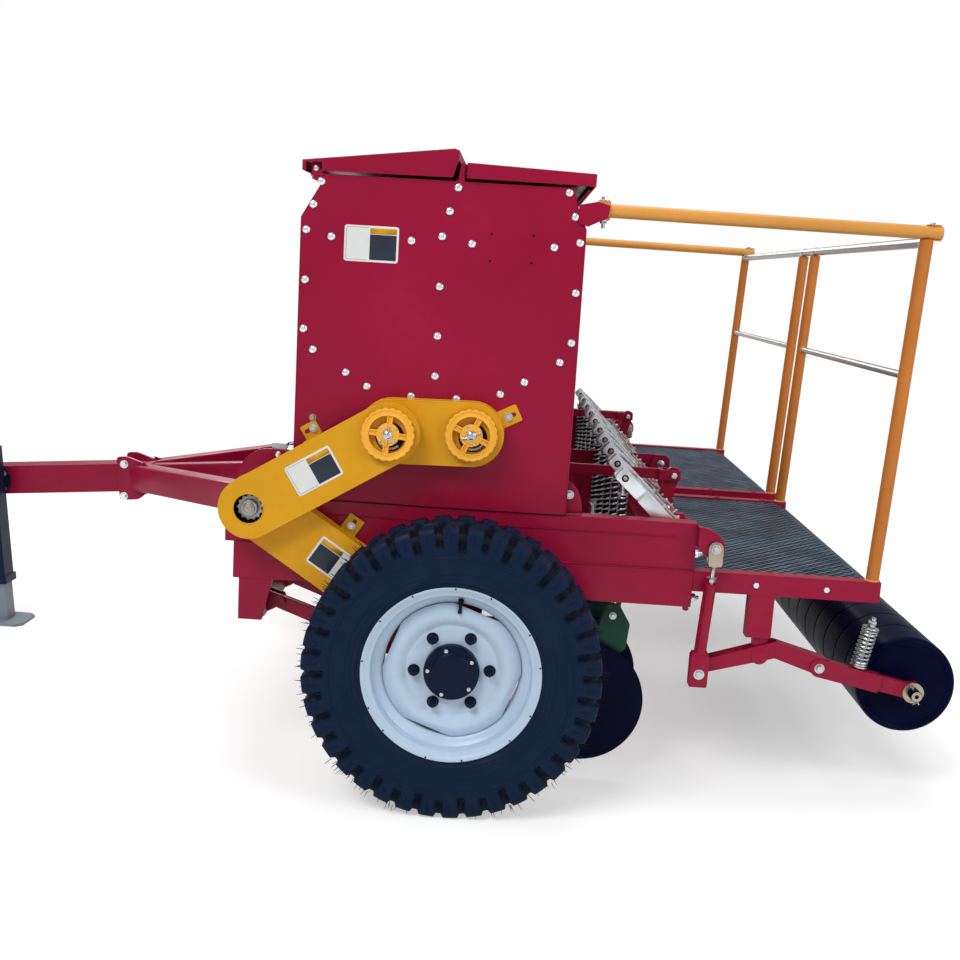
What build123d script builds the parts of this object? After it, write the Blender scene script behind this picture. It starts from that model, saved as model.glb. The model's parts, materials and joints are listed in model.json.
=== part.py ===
from build123d import *
import math
import os

os.makedirs("parts", exist_ok=True)

# Trailed ten-arm seed drill, all sizes in millimetres.
# +X is forward, +Y the machine's left side, +Z up. The floor is Z = 0 and the
# origin lies under the middle of the machine's overall length and width.

# ---- overall reaches, measured from the wheel axle --------------------------
HITCH_REACH = 2105.0  # axle to the front of the hitch ears
ROLLER_BACK = 1222.0  # axle to roller axle
ROLLER_R = 133.0
AXLE_X = (ROLLER_BACK + ROLLER_R - HITCH_REACH) / 2

# ---- wheels -----------------------------------------------------------------
TYRE_R = 375.0
TYRE_WIDTH = 184.0
RIM_FLANGE_R = 224.0
RIM_SEAT_R = 203.0
RIM_WELL_R = 176.0
RIM_WIDTH = 164.0
RIM_SHEET = 6.0
HUB_R = 70.0
HUB_CAP_PROUD = 22.0
SPINDLE_R = 24.0
RUNNING_GAP = 0.05

# ---- main frame -------------------------------------------------------------
FRAME_HALF = 1215.0  # outer face of the side beams and the hopper's end plates
WHEEL_OUT = 167.0  # a wheel's middle plane, outboard of that face
WHEEL_Y = FRAME_HALF + WHEEL_OUT
BEAM_BOTTOM = 522.0
BEAM_SEAM = 620.0
BEAM_TOP = 746.0
BEAM_WIDTH = 55.0
BEAM_WALL = 5.0
BEAM_FRONT = 612.0
LOWER_FRONT = 604.0  # side beams step back towards their hangers
UPPER_FRONT = 628.0
BEAM_REAR = -612.0
CROSS_BEAM = 80.0  # width, along X, of the cross beams
TOOLBAR_X = 556.0
TOOLBAR_Z = 450.0
TOOLBAR_SIDE = 70.0
TOOLBAR_WALL = 12.0

# ---- tongue: its plane falls towards the hitch ------------------------------
TONGUE_SLOPE = 4.8  # degrees
TONGUE_HEAD_X = 1250.0  # where the legs meet the drawbar
TONGUE_HEAD_Z = 551.0
DRAWBAR_SIDE = 102.0
DRAWBAR_WALL = 14.0
LEG_HEIGHT = 92.0
LEG_WIDTH = 70.0
LEG_WALL = 8.0
LEG_ANGLE = 42.4  # degrees off the centre line
LEG_OFFSET = 36.0
CHEEK_THICK = 12.0
EAR_LENGTH = 150.0
EAR_THICK = 20.0
EAR_R = 45.0
EAR_GAP = 62.0
HITCH_PIN_R = 16.0

# ---- jack -------------------------------------------------------------------
JACK_X = 1750.0  # at the drawbar's height
JACK_OUTER = 74.0  # sides of the square tube and of the leg inside it
JACK_INNER = 62.0
JACK_LEG_WALL = 5.0
JACK_GAP = 0.1
JACK_TUBE_TOP = 640.0
JACK_TUBE_BOTTOM = 145.0
JACK_FOOT = 190.0
JACK_FOOT_THICK = 10.0
JACK_TRAVEL = 120.0

# ---- hopper -----------------------------------------------------------------
HOPPER_FRONT = 452.0
HOPPER_REAR = -266.0
HOPPER_TOP = 1578.0
MOUTH_FRONT = 402.0
MOUTH_REAR = -234.0
SHOULDER_Z = 1462.0
BITE_Z = 1549.0  # foot of the front corner's bite, which the front lid's edge swings through
KNEE_Z = 1172.0
OUTLET_Z = 1030.0
OUTLET_HALF = 28.0
FRONT_OUTLET = 203.0
REAR_OUTLET = -10.0
PARTITION_X = 94.0
PARTITION_TOP_X = 62.0
SHEET = 3.0
END_PLATE = 4.0
END_INSET = 15.0  # end plate's edge stands this far outside the tank's walls

# ---- lids -------------------------------------------------------------------
LID_SHEET = 2.5
LID_GAP = 6.0
LID_OVERHANG = 22.0
FRONT_PIVOT = (418.0, 1590.0)
LID_SIDE_GAP = 5.0  # lids' side skirts hang this far outside the end plates
FRONT_LID_FRONT = 452.0
FRONT_LID_REAR = 61.0
RIDGE_Z = 1656.0
FRONT_LID_EDGE_Z = 1609.0
REAR_LID_FRONT = 40.0
REAR_LID_REAR = -283.0
REAR_LID_EDGE_Z = 1614.0
REAR_LID_HIGH_Z = 1624.0
REAR_PIVOT = (50.0, 1618.0)
BARREL_R = 6.0
HINGE_PIN_R = 3.0
PIVOT_PIN_R = 5.0
LID_SKIRT_Z = 1584.0

# ---- seeding units ----------------------------------------------------------
UNITS = 10
UNIT_PITCH = 250.0
UNIT_Y = [UNIT_PITCH * (i - (UNITS - 1) / 2) for i in range(UNITS)]
METER_Z = 945.0
METER_SHAFT = 22.0  # side of the square feed shafts
DISC_X = -345.0
DISC_Z = 222.0
DISC_R = 172.0
DISC_THICK = 5.0
DISC_HUB_R = 44.0
DISC_HUB_GAP = 0.5  # between a disc's hub and its boot
ARM_PIVOT = (492.0, 440.0)
ARM_KNEE = (190.0, 335.0)
ARM_HEIGHT = 46.0
ARM_THICK = 22.0
DISC_STEP = 24.0  # disc's plane, outboard of its arm's
BOOT_THICK = 22.0
ROCKSHAFT = (-575.0, 699.0)
ROCKSHAFT_R = 30.0
LEVER_TIP = (-420.0, 844.0)
LEVER_WIDTH = 50.0
LEVER_HEIGHT = 32.0
CRANK_LENGTH = 104.0
CRANK_LEAN = 14.8  # degrees behind upright, half its travel
CRANK_Y = 750.0
LEVER_SHEET = 4.0
ROD_R = 7.0
TRUNNION_R = 9.0
ROD_EYE_Z = 486.0
SPRING_R = 14.0
SPRING_TOP = 796.0
SPRING_BOTTOM = 585.0

# ---- chain drive ------------------------------------------------------------
JACKSHAFT = (546.0, 730.0)
GUARD_R = 78.0
GUARD_DEPTH = 46.0
GUARD_SHEET = 2.0
GUARD_GAP = 2.0
SIGHT_HOLE_R = 39.0
SPROCKET_R = 33.0
SPROCKET_TEETH = 13
HANDWHEEL_R = 67.0
HANDWHEEL_THICK = 12.0

WEB_Y = 44.0  # right face of the middle web
WEB_THICK = 12.0
WEB_CLEAR = 6.0  # round the shaft that passes through it
LUG_THICK = 10.0
FAR_LUG_Y = FRAME_HALF - 39.0

# ---- platform and rails -----------------------------------------------------
PLATFORM_TOP = 621.0
PLATFORM_HEIGHT = 55.0
PLATFORM_BEAM = 40.0
PLATFORM_REAR = -1102.0
PLATFORM_SPLIT = 60.0  # half the gap between the two platforms
PLATE_THICK = 3.0
PLATFORM_WALL = 3.0
RAIL_R = 17.0
RAIL_WALL = 3.0
RAIL_Z = 1529.0
RAIL_FRONT = -290.0
RAIL_REAR = -1152.0
POST_FOOT_X = -1083.0
POST_HEAD_X = -1117.0
MID_POST_Y = 82.0
TIE_R = 13.0
TIE_Z = 1497.0
MID_RAIL_Z = 1162.0
MID_RAIL_R = 10.0

# ---- roller and its levers --------------------------------------------------
ROLLER_AXLE_Z = 325.0
ROLLER_HALF = 1152.0
ROLLER_WALL = 4.0
ROLLER_END = 5.0
ROLLER_SHOULDER = 12.0
ROLLER_AXLE_R = 15.0
ROLLER_STUB = 70.0  # axle stub's length inside the roller
LEVER_PIN = (-805.0, 401.0)
LEVER_FRONT = (-643.0, 353.0)
LEVER_BOLT = (-965.0, 379.0)
LEVER_APEX = (-846.0, 421.0)
LEVER_DEPTH = 42.0
STRUT_FRONT = -764.0
STRUT_WIDTH = 66.0
STRUT_THICK = 40.0
LINK_BOLT = (-658.0, 691.0)
LINK_TUBE_R = 14.0
LINK_Y = FRAME_HALF + 25.0
LINK_FORK = 28.0  # outside width of the lower fork
FRONT_PIN_R = 9.0


def fore(distance):
    """The X of a station this far forward of the wheel axle."""
    return AXLE_X + distance


def at(station, y, z):
    """A point from its distance forward of the axle, its Y and its height."""
    return Vector(fore(station), y, z)


def side_plane(y):
    """An upright sketch plane at this Y, X to the right and Z up; it extrudes towards -Y."""
    return Plane.XZ.offset(-y)


def rod(start, end, radius, mode=Mode.ADD):
    """A round bar from one point to another."""
    along = end - start
    with Locations(Plane(origin=(start + end) / 2, z_dir=along)):
        Cylinder(radius, along.length, mode=mode)


def spar(start, end, radius, mode=Mode.ADD):
    """A slender bar from one point to another, with eight flat sides."""
    along = end - start
    with BuildSketch(Plane(origin=start, z_dir=along)) as section:
        RegularPolygon(radius, 8)
    extrude(section.sketch, amount=along.length, mode=mode)


def pipe(start, end, radius, wall):
    """A round tube, open at both ends."""
    rod(start, end, radius)
    spar(start, end, radius - wall, mode=Mode.SUBTRACT)


def beam(start, end, width, height, wall=0.0):
    """A rectangular bar or, with a wall, a hollow section, its width level."""
    along = end - start
    level = Vector(0, 0, 1).cross(along)
    place = Plane(origin=(start + end) / 2, x_dir=along, z_dir=along.cross(level))
    with Locations(place):
        Box(along.length, width, height)
        if wall:
            Box(along.length, width - 2 * wall, height - 2 * wall, mode=Mode.SUBTRACT)


def outline(points):
    """The face of a closed run of (station, height) pairs in a side plane."""
    Polygon(*[(fore(station), z) for station, z in points], align=None)


def finish(builder, label):
    """Labels a finished piece and writes it to its own STEP file."""
    builder.part.label = label
    export_step(builder.part, f"parts/{label}.step")


# =============================== main frame ==================================
beam_inner = FRAME_HALF - BEAM_WIDTH
beam_mid_y = FRAME_HALF - BEAM_WIDTH / 2

with BuildPart() as side_beams:
    for low, high, width, front in (
        (BEAM_BOTTOM, BEAM_SEAM, BEAM_WIDTH, LOWER_FRONT),
        (BEAM_SEAM, BEAM_TOP, BEAM_WIDTH - 3, UPPER_FRONT),
    ):
        mid = (low + high) / 2
        inner_y = FRAME_HALF - BEAM_WIDTH + width / 2
        beam(at(BEAM_REAR, inner_y, mid), at(front, inner_y, mid), width, high - low, BEAM_WALL)
    # the toolbar's hangers, under the front of each beam
    with BuildSketch(side_plane(FRAME_HALF - 2)):
        outline([(588, BEAM_BOTTOM), (588, 408), (525, 408), (498, BEAM_BOTTOM)])
    extrude(amount=12)
    mirror(about=Plane.XZ)
finish(side_beams, "side_beams")

CROSS_STATIONS = {  # station of the beam's middle, bottom, top, wall
    "front": (BEAM_FRONT - CROSS_BEAM / 2, BEAM_BOTTOM, BEAM_TOP - 6, 10.0),
    "middle": (0.0, BEAM_BOTTOM + 6, BEAM_SEAM, BEAM_WALL),
    "seat": (HOPPER_REAR + 26, 674.0, BEAM_TOP, BEAM_WALL),
    "rear": (BEAM_REAR + CROSS_BEAM / 2, BEAM_BOTTOM, BEAM_SEAM - 8, BEAM_WALL),
}
with BuildPart() as cross_beams:
    for station, low, high, wall in CROSS_STATIONS.values():
        depth = 50.0 if low > BEAM_SEAM else CROSS_BEAM
        with Locations(at(station, 0, (low + high) / 2)):
            Box(depth, 2 * beam_inner, high - low)
            Box(depth - 2 * wall, 2 * beam_inner, high - low - 2 * wall, mode=Mode.SUBTRACT)
finish(cross_beams, "cross_beams")

hanger_inner = FRAME_HALF - 14
with BuildPart() as toolbar:
    with Locations(at(TOOLBAR_X, 0, TOOLBAR_Z)):
        Box(TOOLBAR_SIDE, 2 * hanger_inner, TOOLBAR_SIDE)
        inner = TOOLBAR_SIDE - 2 * TOOLBAR_WALL
        Box(inner, 2 * hanger_inner, inner, mode=Mode.SUBTRACT)
    # a pair of lugs for each opener arm
    for y in UNIT_Y:
        for step in (-ARM_THICK / 2 - 6, ARM_THICK / 2 + 6):
            with BuildSketch(side_plane(y + step + 4)):
                face = TOOLBAR_X - TOOLBAR_SIDE / 2
                outline([(face, 472), (ARM_PIVOT[0] - 8, 460), (ARM_PIVOT[0] - 18, 440), (face, 414)])
            extrude(amount=8)
        rod(at(ARM_PIVOT[0], y - 20, ARM_PIVOT[1]), at(ARM_PIVOT[0], y + 20, ARM_PIVOT[1]), 8)
finish(toolbar, "toolbar")

# ================================ tongue =====================================
slope = math.radians(TONGUE_SLOPE)
TONGUE = Plane(
    origin=at(TONGUE_HEAD_X, 0, TONGUE_HEAD_Z),
    x_dir=(math.cos(slope), 0, -math.sin(slope)),
    z_dir=(math.sin(slope), 0, math.cos(slope)),
)
drawbar_start = 55.0
ear_depth = EAR_GAP / 2 + EAR_THICK
ear_eye = (HITCH_REACH - TONGUE_HEAD_X - ear_depth * math.sin(slope)) / math.cos(slope) - EAR_R
ear_start = ear_eye + EAR_R - EAR_LENGTH
drawbar_length = ear_start - drawbar_start

with BuildPart(TONGUE) as drawbar:
    with Locations((drawbar_start + drawbar_length / 2, 0, 0)):
        Box(drawbar_length, DRAWBAR_SIDE, DRAWBAR_SIDE)
        hollow = DRAWBAR_SIDE - 2 * DRAWBAR_WALL
        Box(drawbar_length, hollow, hollow, mode=Mode.SUBTRACT)
finish(drawbar, "drawbar")

with BuildPart(TONGUE) as hitch_ears:
    with Locations((ear_start + 10, 0, 0)):
        Box(20, DRAWBAR_SIDE, DRAWBAR_SIDE)
    for level in (-EAR_GAP / 2 - EAR_THICK / 2, EAR_GAP / 2 + EAR_THICK / 2):
        with BuildSketch(TONGUE.offset(level - EAR_THICK / 2)):
            with Locations((ear_start + 20, 0)):
                Rectangle(ear_eye - ear_start - 20, 2 * EAR_R, align=(Align.MIN, Align.CENTER))
            with Locations((ear_eye, 0)):
                Circle(EAR_R)
                Circle(HITCH_PIN_R, mode=Mode.SUBTRACT)
        extrude(amount=EAR_THICK)
finish(hitch_ears, "hitch_ears")

front_face = Plane(origin=at(BEAM_FRONT, 0, 0), z_dir=(1, 0, 0))
leg_reach = 1150.0
with BuildPart(TONGUE) as tongue_frame:
    with Locations((-leg_reach / 2, 0, 0)):
        Box(leg_reach, LEG_WIDTH - 20, LEG_HEIGHT - 8)
    for side in (-1, 1):
        turn = 180 - side * LEG_ANGLE
        with Locations(Location((-14, side * LEG_OFFSET, 0), (0, 0, turn))):
            Box(leg_reach, LEG_WIDTH, LEG_HEIGHT, align=(Align.MIN, Align.CENTER, Align.CENTER))
    with Locations((-23, 0, 0)):
        Box(80, 100, LEG_HEIGHT)
    split(bisect_by=front_face, keep=Keep.TOP)
    # cheeks each side of the drawbar's tail
    for side in (-1, 1):
        cheek_y = side * (DRAWBAR_SIDE / 2 + CHEEK_THICK / 2)
        with Locations((2, cheek_y, 0)):
            Box(102, CHEEK_THICK, 166)
finish(tongue_frame, "tongue_frame")

# ================================= jack ======================================
jack_y = DRAWBAR_SIDE / 2 + 26 + JACK_OUTER / 2
jack_axis = Vector(math.sin(slope), 0, math.cos(slope))
jack_mid = at(JACK_X, jack_y, TONGUE_HEAD_Z - (JACK_X - TONGUE_HEAD_X) * math.tan(slope))


def jack_point(height):
    """The point of the jack's axis at this height."""
    return jack_mid + jack_axis * ((height - jack_mid.Z) / jack_axis.Z)


def square_bar(low, high, side, mode=Mode.ADD):
    """A square bar on the jack's axis between two heights."""
    run = jack_point(high) - jack_point(low)
    place = Plane(origin=jack_point((low + high) / 2), x_dir=(0, 1, 0), z_dir=run)
    with Locations(place):
        Box(side, side, run.length, mode=mode)


leg_top = JACK_TUBE_TOP - 20 - JACK_TRAVEL
with BuildPart() as jack_tube:
    square_bar(JACK_TUBE_BOTTOM, JACK_TUBE_TOP, JACK_OUTER)
    # collar round the tube's foot
    square_bar(JACK_TUBE_BOTTOM, JACK_TUBE_BOTTOM + 26, JACK_OUTER + 12)
    # mounting flange and swivel against the drawbar's side
    start = Vector(jack_mid.X, DRAWBAR_SIDE / 2, jack_mid.Z)
    rod(start, start + Vector(0, 12, 0), 48)
    rod(start + Vector(0, 12, 0), start + Vector(0, 30, 0), 36)
    square_bar(JACK_TUBE_BOTTOM - 1, JACK_TUBE_TOP - 12, JACK_INNER + 2 * JACK_GAP, mode=Mode.SUBTRACT)
    # gear head and its crank
    square_bar(JACK_TUBE_TOP, JACK_TUBE_TOP + 34, 56)
    crank = jack_point(JACK_TUBE_TOP + 18)
    spar(crank, crank + Vector(0, 70, 0), 9)
    spar(crank + Vector(0, 64, 8), crank + Vector(0, 64, -110), 7)
    spar(crank + Vector(0, 56, -110), crank + Vector(0, 150, -110), 10)
finish(jack_tube, "jack_tube")

with BuildPart() as jack_leg:
    square_bar(-40, leg_top, JACK_INNER)
    square_bar(-60, leg_top + 1, JACK_INNER - 2 * JACK_LEG_WALL, mode=Mode.SUBTRACT)
    split(bisect_by=Plane.XY.offset(JACK_FOOT_THICK), keep=Keep.TOP)
    foot = jack_point(JACK_FOOT_THICK / 2)
    with BuildSketch(Plane.XY):
        with Locations((foot.X, foot.Y)):
            Rectangle(JACK_FOOT, 150)
        chamfer(vertices(), 22)
    extrude(amount=JACK_FOOT_THICK)
finish(jack_leg, "jack_leg")

# ================================= wheels ====================================
half_tyre = TYRE_WIDTH / 2
half_rim = RIM_WIDTH / 2

for side, name in ((1, "left"), (-1, "right")):
    wheel_mid = at(0, side * WHEEL_Y, TYRE_R)
    # sketches of half sections: local x is the radius, local y runs outboard
    section = Plane(origin=wheel_mid, x_dir=(1, 0, 0), z_dir=(0, 0, side))
    spin = Axis(wheel_mid, (0, side, 0))
    with BuildPart() as tyre:
        with BuildSketch(section) as tyre_section:
            with BuildLine():
                tread = half_tyre - 16
                crown = Line((TYRE_R, -tread), (TYRE_R, tread))
                Line(crown @ 1, (TYRE_R - 30, half_tyre))
                Line((TYRE_R - 30, half_tyre), (RIM_FLANGE_R + 24, half_tyre))
                Line((RIM_FLANGE_R + 24, half_tyre), (RIM_SEAT_R, half_rim - 12))
                Line((RIM_SEAT_R, half_rim - 12), (RIM_SEAT_R, half_rim - 30))
                Line((RIM_SEAT_R, half_rim - 30), (TYRE_R - 24, tread - 6))
                Line((TYRE_R - 24, tread - 6), (TYRE_R - 24, 6 - tread))
                Line((TYRE_R - 24, 6 - tread), (RIM_SEAT_R, 30 - half_rim))
                Line((RIM_SEAT_R, 30 - half_rim), (RIM_SEAT_R, 12 - half_rim))
                Line((RIM_SEAT_R, 12 - half_rim), (RIM_FLANGE_R + 24, -half_tyre))
                Line((RIM_FLANGE_R + 24, -half_tyre), (TYRE_R - 30, -half_tyre))
                Line((TYRE_R - 30, -half_tyre), crown @ 0)
            make_face()
        revolve(axis=spin)
    finish(tyre, f"tyre_{name}")

    with BuildPart() as rim:
        with BuildSketch(section):
            with BuildLine():
                Polyline(
                    (RIM_FLANGE_R, half_rim),
                    (RIM_SEAT_R - 0.3, half_rim - 11),
                    (RIM_SEAT_R - 0.3, 44),
                    (RIM_WELL_R, 30),
                    (RIM_WELL_R, -14),
                    (RIM_SEAT_R - 0.3, -34),
                    (RIM_SEAT_R - 0.3, 11 - half_rim),
                    (RIM_FLANGE_R, -half_rim),
                    (RIM_SEAT_R - RIM_SHEET, 2 - half_rim),
                    (RIM_SEAT_R - RIM_SHEET, -36),
                    (RIM_WELL_R - RIM_SHEET, -16),
                    (RIM_WELL_R - RIM_SHEET, 32),
                    (RIM_SEAT_R - RIM_SHEET, 46),
                    (RIM_SEAT_R - RIM_SHEET, half_rim - 2),
                    close=True,
                )
            make_face()
        revolve(axis=spin)
        # dished disc, from the well to the hub
        with BuildSketch(section):
            with BuildLine():
                Polyline(
                    (RIM_WELL_R - RIM_SHEET + 1, 30),
                    (RIM_WELL_R - RIM_SHEET + 1, 14),
                    (128, 40),
                    (70.1, 40),
                    (70.1, 48),
                    (132, 48),
                    close=True,
                )
            make_face()
        revolve(axis=spin)
    finish(rim, f"rim_{name}")

    with BuildPart() as hub:
        with BuildSketch(section):
            with BuildLine():
                cap_y = 48 + HUB_CAP_PROUD
                Polyline(
                    (0, cap_y),
                    (HUB_R - 10, cap_y),
                    (HUB_R, cap_y - 8),
                    (HUB_R, 39.9),
                    (112, 39.9),
                    (112, 28),
                    (54, -70),
                    (SPINDLE_R + RUNNING_GAP, -70),
                    (SPINDLE_R + RUNNING_GAP, 30),
                    (0, 30),
                    close=True,
                )
            make_face()
        revolve(axis=spin)
    finish(hub, f"hub_{name}")

with BuildPart() as axle_brackets:
    spindle_tip = WHEEL_Y + 28
    with BuildSketch(side_plane(FRAME_HALF - 2)):
        outline([(70, BEAM_BOTTOM), (46, 330), (-46, 330), (-70, BEAM_BOTTOM)])
    extrude(amount=BEAM_WIDTH - 4)
    rod(at(0, FRAME_HALF - 40, TYRE_R), at(0, FRAME_HALF + 60, TYRE_R), 34)
    rod(at(0, FRAME_HALF, TYRE_R), at(0, spindle_tip, TYRE_R), SPINDLE_R)
    mirror(about=Plane.XZ)
finish(axle_brackets, "axle_brackets")

# ================================= hopper ====================================
half_inside = FRAME_HALF - END_PLATE
front_wall = HOPPER_FRONT - END_INSET + 12
rear_wall = HOPPER_REAR + END_INSET - 12
with BuildPart() as hopper_shell:
    with BuildSketch(Plane.XZ):
        outline(
            [
                (MOUTH_FRONT, HOPPER_TOP - 3),
                (MOUTH_FRONT, BITE_Z - 3),
                (front_wall, SHOULDER_Z),
                (front_wall, KNEE_Z),
                (FRONT_OUTLET + OUTLET_HALF, OUTLET_Z),
                (FRONT_OUTLET - OUTLET_HALF, OUTLET_Z),
                (PARTITION_X, 1092),
                (REAR_OUTLET + OUTLET_HALF, OUTLET_Z),
                (REAR_OUTLET - OUTLET_HALF, OUTLET_Z),
                (rear_wall, KNEE_Z),
                (rear_wall, SHOULDER_Z),
                (MOUTH_REAR - 4, HOPPER_TOP - 42),
                (MOUTH_REAR - 36, HOPPER_TOP - 3),
            ]
        )
        offset(amount=-SHEET, mode=Mode.SUBTRACT)
        # open mouth
        with Locations((fore((MOUTH_FRONT + MOUTH_REAR) / 2 - 16), HOPPER_TOP - 4)):
            Rectangle(MOUTH_FRONT - MOUTH_REAR + 24, 6, mode=Mode.SUBTRACT)
        # partition, leaning back at its head
        outline(
            [
                (PARTITION_X + 1.5, 1090),
                (PARTITION_X + 1.5, SHOULDER_Z),
                (PARTITION_TOP_X + 1.5, HOPPER_TOP - 3),
                (PARTITION_TOP_X - 1.5, HOPPER_TOP - 3),
                (PARTITION_X - 1.5, SHOULDER_Z),
                (PARTITION_X - 1.5, 1090),
            ]
        )
    extrude(amount=half_inside, both=True)
    # cap of the partition, under the gap between the lids
    with Locations(at(PARTITION_TOP_X - 14, 0, HOPPER_TOP - 3)):
        Box(20, 2 * half_inside - 16, 8, align=(Align.MIN, Align.CENTER, Align.MIN))
finish(hopper_shell, "hopper_shell")

with BuildPart() as end_plates:
    with BuildSketch(side_plane(FRAME_HALF)):
        outline(
            [
                (431, HOPPER_TOP),
                (423, HOPPER_TOP - 13),
                (409, HOPPER_TOP - 18),
                (MOUTH_FRONT + 3, BITE_Z),
                (429, HOPPER_TOP - 69),
                (HOPPER_FRONT, HOPPER_TOP - 108),
                (HOPPER_FRONT, BEAM_TOP),
                (HOPPER_REAR, BEAM_TOP),
                (HOPPER_REAR, HOPPER_TOP - 100),
                (-238, HOPPER_TOP - 40),
                (-232, HOPPER_TOP),
            ]
        )
        # ears of the two lids' pivots
        outline([(396, HOPPER_TOP - 4), (FRONT_PIVOT[0] - 10, FRONT_PIVOT[1]), (428, FRONT_PIVOT[1]), (430, HOPPER_TOP - 4)])
        outline([(46, HOPPER_TOP - 4), (REAR_PIVOT[0] - 6, REAR_PIVOT[1]), (REAR_PIVOT[0] + 6, REAR_PIVOT[1]), (62, HOPPER_TOP - 4)])
        for pivot, radius in ((FRONT_PIVOT, 10), (REAR_PIVOT, BARREL_R)):
            with Locations((fore(pivot[0]), pivot[1])):
                Circle(radius)
    extrude(amount=END_PLATE)
    for pivot, radius in ((FRONT_PIVOT, PIVOT_PIN_R), (REAR_PIVOT, HINGE_PIN_R)):
        rod(at(pivot[0], half_inside - 20, pivot[1]), at(pivot[0], half_inside + 1, pivot[1]), radius)
    mirror(about=Plane.XZ)
finish(end_plates, "end_plates")

# feed cups with their shafts, one row under each tank
with BuildPart() as metering_units:
    for station in (FRONT_OUTLET, REAR_OUTLET):
        with Locations(at(station, 0, OUTLET_Z - 12)):
            Box(2 * OUTLET_HALF, 2 * half_inside - 4, 24)
        for y in UNIT_Y:
            with BuildSketch(side_plane(y + 30)):
                outline(
                    [
                        (station + 34, OUTLET_Z - 24),
                        (station + 34, METER_Z - 20),
                        (station + 14, 878),
                        (station - 14, 878),
                        (station - 34, METER_Z - 20),
                        (station - 34, OUTLET_Z - 24),
                    ]
                )
            extrude(amount=60)
        with Locations(at(station, 0, METER_Z)):
            Box(METER_SHAFT, 2 * half_inside - 4, METER_SHAFT)
finish(metering_units, "metering_units")

with BuildPart() as seed_tubes:
    for y in UNIT_Y:
        for station, foot, step in ((FRONT_OUTLET, -326, -15), (REAR_OUTLET, -350, 15)):
            spar(at(station - 2, y + step, 862), at(foot, y + step, 504), 14.5)
finish(seed_tubes, "seed_tubes")

# ================================== lids =====================================
lid_half = FRAME_HALF + LID_SIDE_GAP + LID_SHEET
with BuildPart() as front_lid:
    with BuildSketch(Plane.XZ):
        outline(
            [
                (FRONT_LID_FRONT, LID_SKIRT_Z),
                (FRONT_LID_FRONT, FRONT_LID_EDGE_Z),
                (FRONT_LID_REAR + 12, RIDGE_Z),
                (FRONT_LID_REAR, RIDGE_Z - 4),
                (FRONT_LID_REAR, 1630),
                (FRONT_LID_REAR + 14, LID_SKIRT_Z + 2),
            ]
        )
    extrude(amount=lid_half, both=True)
    with BuildSketch(Plane.XZ):
        outline(
            [
                (FRONT_LID_FRONT - LID_SHEET, LID_SKIRT_Z - 20),
                (FRONT_LID_FRONT - LID_SHEET, FRONT_LID_EDGE_Z - LID_SHEET),
                (FRONT_LID_REAR + 12, RIDGE_Z - LID_SHEET - 1),
                (FRONT_LID_REAR + LID_SHEET, RIDGE_Z - LID_SHEET - 6),
                (FRONT_LID_REAR + LID_SHEET, 1632),
                (FRONT_LID_REAR + LID_SHEET, 1629),
                (FRONT_LID_REAR - 10, 1629),
                (FRONT_LID_REAR - 10, LID_SKIRT_Z - 20),
            ]
        )
    extrude(amount=lid_half - LID_SHEET, both=True, mode=Mode.SUBTRACT)
    # recesses in the skirts over the pivots, and the ears that turn on them
    for side in (-1, 1):
        with Locations(at(FRONT_PIVOT[0] + 5, side * lid_half, FRONT_PIVOT[1] - 4)):
            Box(40, 12, 38, mode=Mode.SUBTRACT)
        ear = side * (half_inside - 11)
        with Locations(at(FRONT_PIVOT[0], ear, FRONT_PIVOT[1] - 10)):
            Box(26, 6, 32, align=(Align.CENTER, Align.CENTER, Align.MIN))
        with Locations(at(FRONT_PIVOT[0], ear, FRONT_PIVOT[1])):
            Cylinder(PIVOT_PIN_R + RUNNING_GAP, 8, rotation=(90, 0, 0), mode=Mode.SUBTRACT)
finish(front_lid, "front_lid")

with BuildPart() as rear_lid:
    with BuildSketch(Plane.XZ):
        outline(
            [
                (REAR_LID_FRONT, LID_SKIRT_Z + 2),
                (REAR_LID_FRONT, REAR_LID_HIGH_Z),
                (REAR_LID_REAR, REAR_LID_EDGE_Z),
                (REAR_LID_REAR, LID_SKIRT_Z),
            ]
        )
    extrude(amount=lid_half, both=True)
    with BuildSketch(Plane.XZ):
        outline(
            [
                (REAR_LID_FRONT - LID_SHEET, LID_SKIRT_Z - 20),
                (REAR_LID_FRONT - LID_SHEET, REAR_LID_HIGH_Z - LID_SHEET),
                (REAR_LID_REAR + LID_SHEET, REAR_LID_EDGE_Z - LID_SHEET),
                (REAR_LID_REAR + LID_SHEET, LID_SKIRT_Z - 20),
            ]
        )
    extrude(amount=lid_half - LID_SHEET, both=True, mode=Mode.SUBTRACT)
    # rolled front edge, bored at its ends for the end plates' stub pins
    roll_end = half_inside - 2
    roll_start = at(REAR_PIVOT[0], -roll_end, REAR_PIVOT[1])
    roll_stop = at(REAR_PIVOT[0], roll_end, REAR_PIVOT[1])
    rod(roll_start, roll_stop, BARREL_R)
    with Locations(at((REAR_PIVOT[0] + REAR_LID_FRONT) / 2 - 2, 0, REAR_PIVOT[1])):
        Box(REAR_PIVOT[0] - REAR_LID_FRONT + 2, 2 * roll_end, 6)
    for tip in (roll_start, roll_stop):
        inward = Vector(0, -math.copysign(22, tip.Y), 0)
        rod(tip - inward * 0.1, tip + inward, HINGE_PIN_R + RUNNING_GAP, mode=Mode.SUBTRACT)
finish(rear_lid, "rear_lid")

# ============================== chain drive ==================================
guard_outer = FRAME_HALF + GUARD_GAP + GUARD_DEPTH
upper_outer = guard_outer + GUARD_GAP + GUARD_DEPTH


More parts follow.
